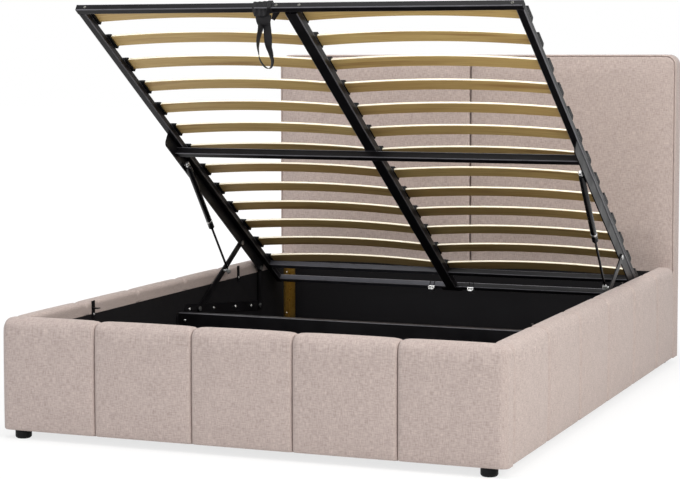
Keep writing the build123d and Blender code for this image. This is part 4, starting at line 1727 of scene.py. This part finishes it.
@dataclass
class GasStruts:
    """Both gas struts: cylinder, collar, rod, and the clipped ball sockets at their ends."""

    shop: Workshop
    rod: float = 4 * MM
    bore_gap: float = 0.3 * MM
    tube_wall: float = 1.5 * MM
    socket_round: float = 2 * MM
    neck: float = 4.5 * MM
    shoulder: float = 3 * MM
    collar_from_end: float = 36 * MM
    collar: float = 8 * MM
    gland: float = 14 * MM
    crimp: float = 0.9 * MM
    clip: float = 0.9 * MM
    clip_turn: float = 320.0
    clip_steps: int = 22
    collar_lip: float = 0.7 * MM
    collar_step: float = 0.6 * MM
    sides: int = 28
    socket_sides: int = 20

    def axes(self, side: Side) -> Matrix:
        """Find a strut's own axes.

        Args:
            side: The strut's side.

        Returns:
            Axes at its upper ball, whose Z runs down the strut.
        """
        swing = next(joint for joint in frame["joints"] if joint["name"] == "strut_swing")
        stroke = next(joint for joint in frame["joints"] if joint["name"] == "strut_stroke")
        low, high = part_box(f"{side.name.lower()}_gas_cylinder")
        across, down = Vector((1, 0, 0)), Vector(stroke["axis"]).normalized()
        turn = Matrix((across, down.cross(across), down)).transposed().to_4x4()
        return Matrix.Translation(((low[0] + high[0]) / 2, swing["pos_m"][1], swing["pos_m"][2])) @ turn

    def build(self) -> None:
        """Turn every piece of both struts."""
        for side in Side:
            name, axes = side.name.lower(), self.axes(side)
            low, high = solids(f"{name}_gas_cylinder", axes)[0]
            rod_low, rod_high = solids(f"{name}_piston_rod", axes)[0]
            wide, socket, end = high.y, -low.z, high.z
            ball, socket_wide = rod_high.z - socket, rod_high.y
            cylinder = spun(f"{name}_strut_cylinder", self.barrel(wide, socket, end), self.sides, axes)
            self.shop.settle(cylinder, Body.CYLINDERS, "strut_black", f"{name}_gas_cylinder",
                             crease=Crease.TURNED)
            at, lip, step = end - self.collar_from_end, self.collar_lip, self.collar_step
            ring = [(wide - lip, at), (wide + lip, at + step), (wide + lip, at + self.collar - step),
                    (wide - lip, at + self.collar), (wide - lip, at)]
            upper = joined(f"{name}_strut_upper_socket", [
                spun("collar", ring, self.sides, axes),
                spun("socket", self.socket(socket_wide, socket, 0, 1), self.socket_sides, axes),
                self.spring_clip(axes, 0, socket_wide)])
            self.shop.settle(upper, Body.CYLINDERS, "bolt_steel", crease=Crease.TURNED)
            shaft = [(0.0, rod_low.z), (self.rod, rod_low.z), (self.rod, ball - socket), (0.0, ball - socket)]
            rod = spun(f"{name}_strut_rod", shaft, self.socket_sides, axes)
            self.shop.settle(rod, Body.RODS, "rod_steel", f"{name}_piston_rod", crease=Crease.TURNED)
            lower = joined(f"{name}_strut_lower_socket", [
                spun("lower", self.socket(socket_wide, socket, ball, -1), self.socket_sides, axes),
                self.spring_clip(axes, ball, socket_wide)])
            self.shop.settle(lower, Body.RODS, "bolt_steel", crease=Crease.TURNED)

    def barrel(self, wide: float, socket: float, end: float) -> Profile:
        """Outline of the cylinder: shoulder, crimped gland and the bore that the rod runs in.

        Args:
            wide: Its radius.
            socket: How far the ball socket reaches down from the ball's middle.
            end: Where it ends.

        Returns:
            Radius and height of each point.
        """
        inner, bore, crimp = wide - self.tube_wall, self.rod + self.bore_gap, end - self.gland
        shoulder = self.shoulder
        return [(0.0, socket), (wide - shoulder, socket), (wide - shoulder / 3, socket + shoulder / 3),
                (wide, socket + shoulder), (wide, crimp - 2 * shoulder),
                (wide - self.crimp, crimp - 1.5 * shoulder), (wide - self.crimp, crimp - shoulder),
                (wide, crimp - shoulder / 2), (wide, end - shoulder), (wide - shoulder, end), (bore, end),
                (bore, crimp), (inner, crimp), (inner, socket + shoulder), (0.0, socket + shoulder)]

    def socket(self, wide: float, reach: float, centre: float, way: int) -> Profile:
        """Outline of a ball socket with its neck towards the strut.

        Args:
            wide: Its radius.
            reach: How far it reaches from the ball's middle.
            centre: The ball's place along the strut.
            way: 1 where the neck points down the strut, -1 where it points up.

        Returns:
            Radius and height of each point.
        """
        soft = self.socket_round
        rim = [(0.0, -reach), (wide - soft, -reach), (wide, soft - reach), (wide, reach - 2.5 * soft),
               (wide - soft, reach - soft), (self.neck, reach - soft), (self.neck, reach + soft),
               (0.0, reach + soft)]
        return [(r, centre + way * h) for r, h in rim]

    def spring_clip(self, axes: Matrix, centre: float, radius: float) -> Piece:
        """Bend the spring clip round a socket.

        Args:
            axes: The strut's axes.
            centre: The ball's place along the strut.
            radius: The socket's radius.

        Returns:
            The clip.
        """
        gap = (360 - self.clip_turn) / 2
        ring = arc((0, 0), radius, gap, gap + self.clip_turn, self.clip_steps)
        spots = [axes @ Vector((*spot, centre)) for spot in ring]
        return wire("clip", spots, self.clip)


@dataclass
class LiftMechanism:
    """Base bars, links and lift arms on both sides."""

    shop: Workshop
    edge: float = 0.7 * MM
    plate: float = 4 * MM
    flange: float = 6 * MM
    margin: float = 0.2 * MM
    arm_margin: float = 0.3 * MM
    arm_foot: float = 2 * MM
    bolt: float = 4.6 * MM
    bolt_washer: float = 1.3

    def build(self) -> None:
        """Build the linkage of both sides."""
        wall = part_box("right_rail_board")[0][0]
        plate_face = wall - self.plate - self.margin
        for side in Side:
            name = side.name.lower()
            bar = self.shop.stand_in(f"{name}_base_bar", f"{name}_sloping_bar", self.edge, Body.BASE)
            self.shop.brighten(bar, lambda spot: abs(spot.x) < plate_face)
            self.shop.stand_in(f"{name}_rear_link", f"{name}_rear_bar", self.edge, Body.REAR_LINKS)
            low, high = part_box(f"{name}_rear_link")
            near, far = sorted((abs(low[0]), abs(high[0])))
            inner, outer = near - self.margin, far + self.margin
            front = self.shop.stand_in(f"{name}_front_link", f"{name}_front_bar", self.edge, Body.FRONT_LINKS)
            self.shop.brighten(front, lambda spot: not inner < abs(spot.x) < outer)
            self.arm(name)
        self.bolts()

    def arm(self, name: str) -> None:
        """Round a lift arm's edges and plate its bolts.

        Args:
            name: The side, in lower case.
        """
        piece = self.shop.stand_in(f"{name}_lift_arm", f"{name}_arm_plate", self.edge, Body.FRAME)
        back = self.shop.axes.matrix.inverted()
        corners = [back @ vertex.co for vertex in piece.data.vertices]
        under = min(spot.z for spot in corners)
        face = min(abs(spot.x) for spot in corners if spot.z < under + self.arm_foot) - self.arm_margin
        self.shop.brighten(piece, lambda spot: abs(spot.x) < face and (back @ spot).z < -self.flange)

    def bolts(self) -> None:
        """Put a domed bolt on each bolt place of the base bars."""
        heads = []
        for number, (low, high) in enumerate(solids("base_bar_bolts")):
            face, degrees = (low.x, 90) if low.x < 0 else (high.x, -90)
            middle = (low + high) / 2
            bolt = Fastener(self.bolt, high.x - low.x, washer=self.bolt_washer)
            place = turned((face, middle.y, middle.z), degrees, "Y")
            heads.append(bolt.round_head(f"base_head_{number}", place))
        self.shop.settle(joined("base_bar_bolt_heads", heads), Body.BASE, "bolt_steel", "base_bar_bolts")


@dataclass
class PullStrap:
    """Webbing hitched round the foot bar, with the loop that a hand pulls."""

    shop: Workshop
    width: float = 24 * MM
    thickness: float = 2 * MM
    facing: float = 24.0
    fold: float = 1.3 * MM
    fold_pitch: float = 15 * MM
    rise: float = 5 * MM
    hang: float = 19 * MM
    hang_rise: float = 0.12
    hang_end: float = 0.82
    lean_back: float = 0.65
    band_half: float = 25 * MM
    band_taper: float = 7 * MM
    band_drop: float = 12 * MM
    band_length: float = 30 * MM
    band_depth: float = 7 * MM
    band_shift: float = 2 * MM
    band_steps: int = 8
    corner: float = 3 * MM
    wrap_gap: float = 0.8 * MM
    wrap_steps: int = 36
    steps: int = 6
    # Sideways place and drop in millimetres and turn in degrees, down the left strand and up the right one
    loop: tuple[Triple, ...] = (
        (-3, -3, 20), (-5, 9, 26), (-6, 26, 32), (-5, 42, 40), (-8, 59, 52), (-12, 76, 60), (-14, 93, 69),
        (-14, 108, 78), (-12, 122, 86), (-10, 136, 94), (-5, 148, 99), (3, 159, 101), (13, 166, 101),
        (22, 165, 102), (27, 156, 105), (28, 144, 111), (25, 131, 119), (22, 118, 128), (18, 106, 138),
        (16, 92, 155), (15, 77, 172), (14, 62, 164), (13, 46, 152), (12, 30, 150), (10, 12, 160),
        (8, -3, 168),
    )
    tail: tuple[Triple, ...] = ((36, -18, 12), (35, -3, 20), (30, 12, 45), (24, 25, 62))
    tail_behind: float = 14 * MM

    def build(self) -> None:
        """Build the hitch, the loop and the short tail."""
        bar_low, bar_high = self.shop.axes.solids("foot_bar")[0]
        wrap_low, wrap_high = (Vector(corner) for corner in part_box("pull_strap"))
        self.centre = (wrap_low.x + wrap_high.x) / 2
        middle = (bar_low.y + bar_high.y) / 2
        self.start = self.shop.axes.matrix @ Vector((self.centre, middle, bar_low.z - self.thickness))
        facing = math.radians(self.facing)
        self.across = Vector((math.cos(facing), math.sin(facing), 0))
        self.away = Vector((-math.sin(facing), math.cos(facing), 0))
        loop = self.ribbon("strap_loop", self.loop, 0.0)
        tail = self.ribbon("strap_tail", self.tail, self.tail_behind)
        wrap = self.wrap(bar_low, bar_high, wrap_high.x - wrap_low.x)
        piece = joined("webbing_strap", [wrap, loop, tail, self.band()])
        self.shop.settle(piece, Body.FRAME, "webbing", "pull_strap", crease=Crease.BENT)

    def ribbon(self, name: str, marks: tuple[Triple, ...], behind: float) -> Piece:
        """Run the webbing through its marks, turning it as they say.

        Args:
            name: The ribbon's name.
            marks: Sideways place and drop in millimetres, and turn in degrees.
            behind: How far it lies towards the head end.

        Returns:
            The ribbon.
        """
        half, edge = self.width / 2, self.thickness / 2
        lower = [(-half + edge, -edge), (-half / 3, -edge), (half / 3, -edge), (half - edge, -edge)]
        outline = [(-half, 0), *lower, (half, 0), *((a, -b) for a, b in reversed(lower))]
        run = smooth_run(marks, self.steps)
        spots = [self.start + self.across * side * MM + Vector((0, behind, -drop * MM))
                 for side, drop, _ in run]
        rings = []
        for index, (spot, (_, _, turn)) in enumerate(zip(spots, run)):
            angle = math.radians(turn)
            wide = self.across * math.cos(angle) + self.away * math.sin(angle)
            way = (spots[min(index + 1, len(spots) - 1)] - spots[max(index - 1, 0)]).normalized()
            flat = (wide - way * wide.dot(way)).normalized()
            normal = way.cross(flat).normalized()
            rings.append([spot + flat * a + normal * b for a, b in outline])
        return loft(name, rings)

    def band(self) -> Piece:
        """Gather both strands below the bar.

        Returns:
            The gathered webbing.
        """
        soft = self.corner
        rings = []
        for k in range(self.band_steps + 1):
            share = k / self.band_steps
            full = math.sin(math.pi * share) ** 0.35
            half = self.band_half - self.band_taper * share - soft * (1 - full)
            deep = self.band_depth * max(full, 0.2)
            drop = self.band_drop + self.band_length * share
            spot = self.start - Vector((0, 0, drop)) + self.across * self.band_shift
            ring = []
            for right, front, first in ((1, 1, 0), (-1, 1, 90), (-1, -1, 180), (1, -1, 270)):
                corner = (right * (half - soft), front * (deep - soft))
                ring += [spot + self.across * a + self.away * b
                         for a, b in arc(corner, soft, first, first + 90, 3)]
            rings.append(ring)
        return loft("strap_band", rings)

    def wrap(self, low: Vector, high: Vector, width: float) -> Piece:
        """Fold the webbing round the foot bar, with gathered pleats that hang below it.

        Args:
            low: The bar's lowest corner in the lifted frame's axes.
            high: Its highest corner.
            width: How much of the bar is wrapped.

        Returns:
            The wrapped webbing.
        """
        start, thick, soft = self.centre - width / 2, self.thickness, self.corner
        rings = []
        for k in range(self.wrap_steps + 1):
            share = k / self.wrap_steps
            x = start + width * share
            wave = math.sin(math.tau * (x - start) / self.fold_pitch) * math.sin(math.pi * share) ** 0.3
            pleat = self.fold * wave
            hang = self.hang * min(ramp(share, 0.0, self.hang_rise),
                                   ramp(self.hang_end, share, self.hang_rise))
            y0, y1 = low.y - (thick + self.wrap_gap + pleat), high.y + thick
            z0, z1 = low.z - thick - 1.2 * pleat - hang, high.z + thick + self.rise * share**2
            corners = [((y0 + soft + self.lean_back * hang, z0 + soft), 270), ((y0 + soft, z1 - soft), 180),
                       ((y1 - soft, z1 - soft), 90), ((y1 - soft, z0 + hang * 0.8 + soft), 0)]
            ring = []
            for corner, first in corners:
                ring += [self.shop.axes.matrix @ Vector((x, a, b))
                         for a, b in arc(corner, soft, first, first - 90, 3)]
            rings.append(ring)
        return loft("strap_wrap", rings)


@dataclass
class BoxFittings:
    """Cross beam, brackets, tabs, glides, screws and floor of the storage box."""

    shop: Workshop
    edge: float = 0.8 * MM
    glide_edge: float = 2 * MM
    panel_edge: float = 0.6 * MM
    beam_wall: float = 1.5 * MM
    beam_corner: float = 2.5 * MM
    plate: float = 3 * MM
    screw: float = 3.8 * MM
    screw_head: float = 2.2 * MM
    screw_washer: float = 1.05
    beam_screw_from_end: float = 22 * MM
    screw_inset: float = 14 * MM
    bracket_inset: float = 22 * MM

    def build(self) -> None:
        """Build every fitting of the box."""
        low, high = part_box("cross_beam")
        beam = tube("cross_beam_steel", low, high, 0, self.beam_wall, self.beam_corner)
        crisp(beam)
        self.shop.settle(beam, Body.BASE, "black_steel", "cross_beam")
        # The beam's rounded corners take the lighter coat, a painted highlight along the edges
        self.shop.coat(beam, self.shop.finishes.painted_highlight_edge, corner_faces(beam, Matrix.Identity(4)))
        for node, name, slot, edge in (
            ("cross_beam_plates", "beam_plates", "black_steel", self.edge),
            ("rest_tabs", "rest_brackets", "black_steel", self.edge),
            ("front_corner_brackets", "foot_corner_angles", "black_steel", self.edge),
            ("rear_corner_brackets", "head_corner_angles", "zinc_steel", self.edge),
            ("front_glides", "foot_end_glides", "black_plastic", self.glide_edge),
            ("rear_glides", "head_end_glides", "black_plastic", self.glide_edge),
            ("middle_glides", "centre_glides", "black_plastic", self.glide_edge),
            ("left_floor_panel", "left_storage_floor", "floor_board", self.panel_edge),
            ("right_floor_panel", "right_storage_floor", "floor_board", self.panel_edge),
        ):
            self.shop.stand_in(node, name, edge, Body.BASE, slot)
        self.screws()

    def screws(self) -> None:
        """Drive the screws of the beam, its plates, the brackets and the tabs."""
        driver = Fastener(self.screw, self.screw_head, washer=self.screw_washer)
        heads = []
        low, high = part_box("cross_beam")
        for x in (low[0] + self.beam_screw_from_end, high[0] - self.beam_screw_from_end):
            heads.append(driver.round_head("screw", turned((x, low[1], (low[2] + high[2]) / 2), 90, "X")))
        for node in ("cross_beam_plates", "rear_corner_brackets", "rest_tabs"):
            for plate_low, plate_high in solids(node):
                if plate_low.x < 0:
                    face, degrees = plate_low.x + self.plate, 90
                else:
                    face, degrees = plate_high.x - self.plate, -90
                for y, z in self.places(node, plate_low, plate_high):
                    heads.append(driver.round_head("screw", turned((face, y, z), degrees, "Y")))
        self.shop.settle(joined("box_screws", heads), Body.BASE, "bolt_steel")

    def places(self, node: str, low: Vector, high: Vector) -> list[tuple[float, float]]:
        """List the screw places on one plate.

        Args:
            node: The CAD node that the plate belongs to.
            low: The plate's lowest corner.
            high: Its highest corner.

        Returns:
            Each place along the bed and up.
        """
        if node == "rear_corner_brackets":
            inset = self.bracket_inset
            return [(low.y + inset, z) for z in (low.z + inset, high.z - inset)]
        if node == "rest_tabs":
            return [((low.y + high.y) / 2, low.z + self.screw_inset)]
        return [(y, low.z + self.screw_inset) for y in (low.y + self.screw_inset, high.y - self.screw_inset)]


class BareFrame:
    """Finishes of the CAD pieces that keep their own shape."""

    def __init__(self, finishes: Finishes) -> None:
        """Keep the finishes, and sort them by slot."""
        self.finishes = finishes
        self.slots = finishes.by_slot()

    def dress(self) -> None:
        """Give every node the finish of its slot."""
        for part in frame["record"]["subparts"]:
            node = bpy.data.objects.get(part["node"])
            if node is not None:
                dress(node, self.slots[part["material_slot"]])
        for name in ("floor_ledges", "floor_batten"):
            dress(bpy.data.objects[name], self.finishes.board)


@dataclass(frozen=True)
class Lamp:
    """A soft rectangular lamp: where it hangs, the point that it faces, its size and its power in watts."""

    name: str
    place: Triple
    aim: Triple
    size: tuple[float, float]
    power: float
    colour: Triple

    def hang(self) -> None:
        """Put the lamp into the scene."""
        data = bpy.data.lights.new(self.name, "AREA")
        data.shape = "RECTANGLE"
        data.size, data.size_y = self.size
        data.energy = self.power
        data.color = self.colour
        lamp = bpy.data.objects.new(self.name, data)
        lamp.location = self.place
        lamp.rotation_mode = "QUATERNION"
        lamp.rotation_quaternion = (Vector(self.aim) - Vector(self.place)).to_track_quat("-Z", "Y")
        lamp.visible_camera = False
        bpy.context.scene.collection.objects.link(lamp)


@dataclass
class Studio:
    """Floor, lamps and the camera at the photograph's viewing angle."""

    lens: float = 104.48
    centre_px: tuple[float, float] = (319.97, 204.97)
    place: Triple = (2.2381, -5.98195, 1.1170)
    yaw: float = -22.14
    pitch: float = -4.39
    roll: float = -0.06
    near: float = 1.4
    far: float = 3.2
    near_glow: float = 0.72
    ground: Colour = (0.86, 0.86, 0.86, 1)
    glow: float = 1.05
    sky: float = 0.36
    sensor: float = 36.0
    reach: float = 60.0
    lamps: tuple[Lamp, ...] = (
        Lamp("key", (4.6, -2.6, 3.4), (0.4, -0.2, 0.4), (2.6, 2.6), 205, (1.0, 0.985, 0.945)),
        Lamp("front", (-2.4, -5.2, 1.1), (0, -0.4, 0.5), (3.0, 2.4), 62, (0.95, 0.97, 1.0)),
        Lamp("top", (0.0, -0.6, 4.6), (0, 0, 0.4), (3.4, 3.4), 150, (1.0, 1.0, 1.0)),
    )

    def camera(self) -> None:
        """Make the camera."""
        data = bpy.data.cameras.new("camera")
        data.lens = self.lens
        data.sensor_width = self.sensor
        data.shift_x = (IMAGE_WIDTH / 2 - self.centre_px[0]) / IMAGE_WIDTH
        data.shift_y = (self.centre_px[1] - IMAGE_HEIGHT / 2) / IMAGE_WIDTH
        data.clip_end = self.reach
        camera = bpy.data.objects.new("camera", data)
        yaw, pitch = math.radians(self.yaw), math.radians(self.pitch)
        ahead = Vector((math.sin(yaw) * math.cos(pitch), math.cos(yaw) * math.cos(pitch), math.sin(pitch)))
        turn = ahead.to_track_quat("-Z", "Y").to_matrix().to_4x4()
        turn = turn @ Matrix.Rotation(math.radians(self.roll), 4, "Z")
        camera.matrix_world = Matrix.Translation(Vector(self.place)) @ turn
        bpy.context.scene.collection.objects.link(camera)
        bpy.context.scene.camera = camera

    def backdrop_rays(self, bench: NodeBench) -> Socket:
        """Find the rays that should see the white background.

        Args:
            bench: The node tree that asks.

        Returns:
            1 for those rays, 0 for the others.
        """
        path = bench.node("ShaderNodeLightPath")
        seen = bench.maths("MAXIMUM", path.outputs["Is Camera Ray"], path.outputs["Is Glossy Ray"])
        return bench.maths("MAXIMUM", seen, path.outputs["Is Transmission Ray"])

    def floor(self) -> None:
        """Lay the pale floor, white where it isn't in shadow."""
        bpy.ops.object.select_all(action="DESELECT")
        bpy.ops.mesh.primitive_plane_add(size=self.reach, location=(0, 0, 0))
        floor = bpy.context.object
        floor.name = "studio_floor"
        bench = MaterialBench("studio_floor")
        bench.plain(Base_Color=self.ground, Roughness=0.9, Specular_IOR_Level=0.1)
        away = bench.node("ShaderNodeVectorMath", {0: bench.place()}, operation="LENGTH").outputs["Value"]
        share = bench.spread(away, self.near, self.far, self.near_glow, 1.0)
        glow = bench.node("ShaderNodeEmission", {"Strength": self.glow}).outputs["Emission"]
        rays = bench.maths("MULTIPLY", self.backdrop_rays(bench), share)
        mixed = bench.node("ShaderNodeMixShader", {"Fac": rays, 1: bench.shader.outputs["BSDF"], 2: glow})
        bench.join(mixed.outputs["Shader"], bench.tree.nodes["Material Output"].inputs["Surface"])
        dress(floor, bench.material)

    def world(self) -> None:
        """Surround the bed with white that lights it softly."""
        world = bpy.data.worlds.new("studio")
        bpy.context.scene.world = world
        world.use_nodes = True
        bench = NodeBench(world.node_tree)
        ground = bench.tree.nodes["Background"]
        ground.inputs["Color"].default_value = (1, 1, 1, 1)
        level = bench.spread(self.backdrop_rays(bench), 0.0, 1.0, self.sky, 1.0)
        bench.join(level, ground.inputs["Strength"])

    def build(self) -> None:
        """Set the studio up."""
        self.camera()
        self.floor()
        self.world()
        for lamp in self.lamps:
            lamp.hang()


def main() -> None:
    """Build the studio and then every part of the bed."""
    logging.basicConfig(level=logging.INFO, format="%(message)s")
    bpy.context.scene.view_settings.view_transform = "Standard"
    Studio().build()
    finishes = Finishes()
    BareFrame(finishes).dress()
    shop = Workshop(finishes, RaisedAxes())
    for kind in (PaddedBox, HeadboardCover, SlatDeck, RaisedFrame, GasStruts, LiftMechanism, PullStrap,
                 BoxFittings):
        assembly = kind(shop=shop)
        assembly.build()
        log.info("%s built", kind.__name__)


if __name__ == "__main__":
    main()
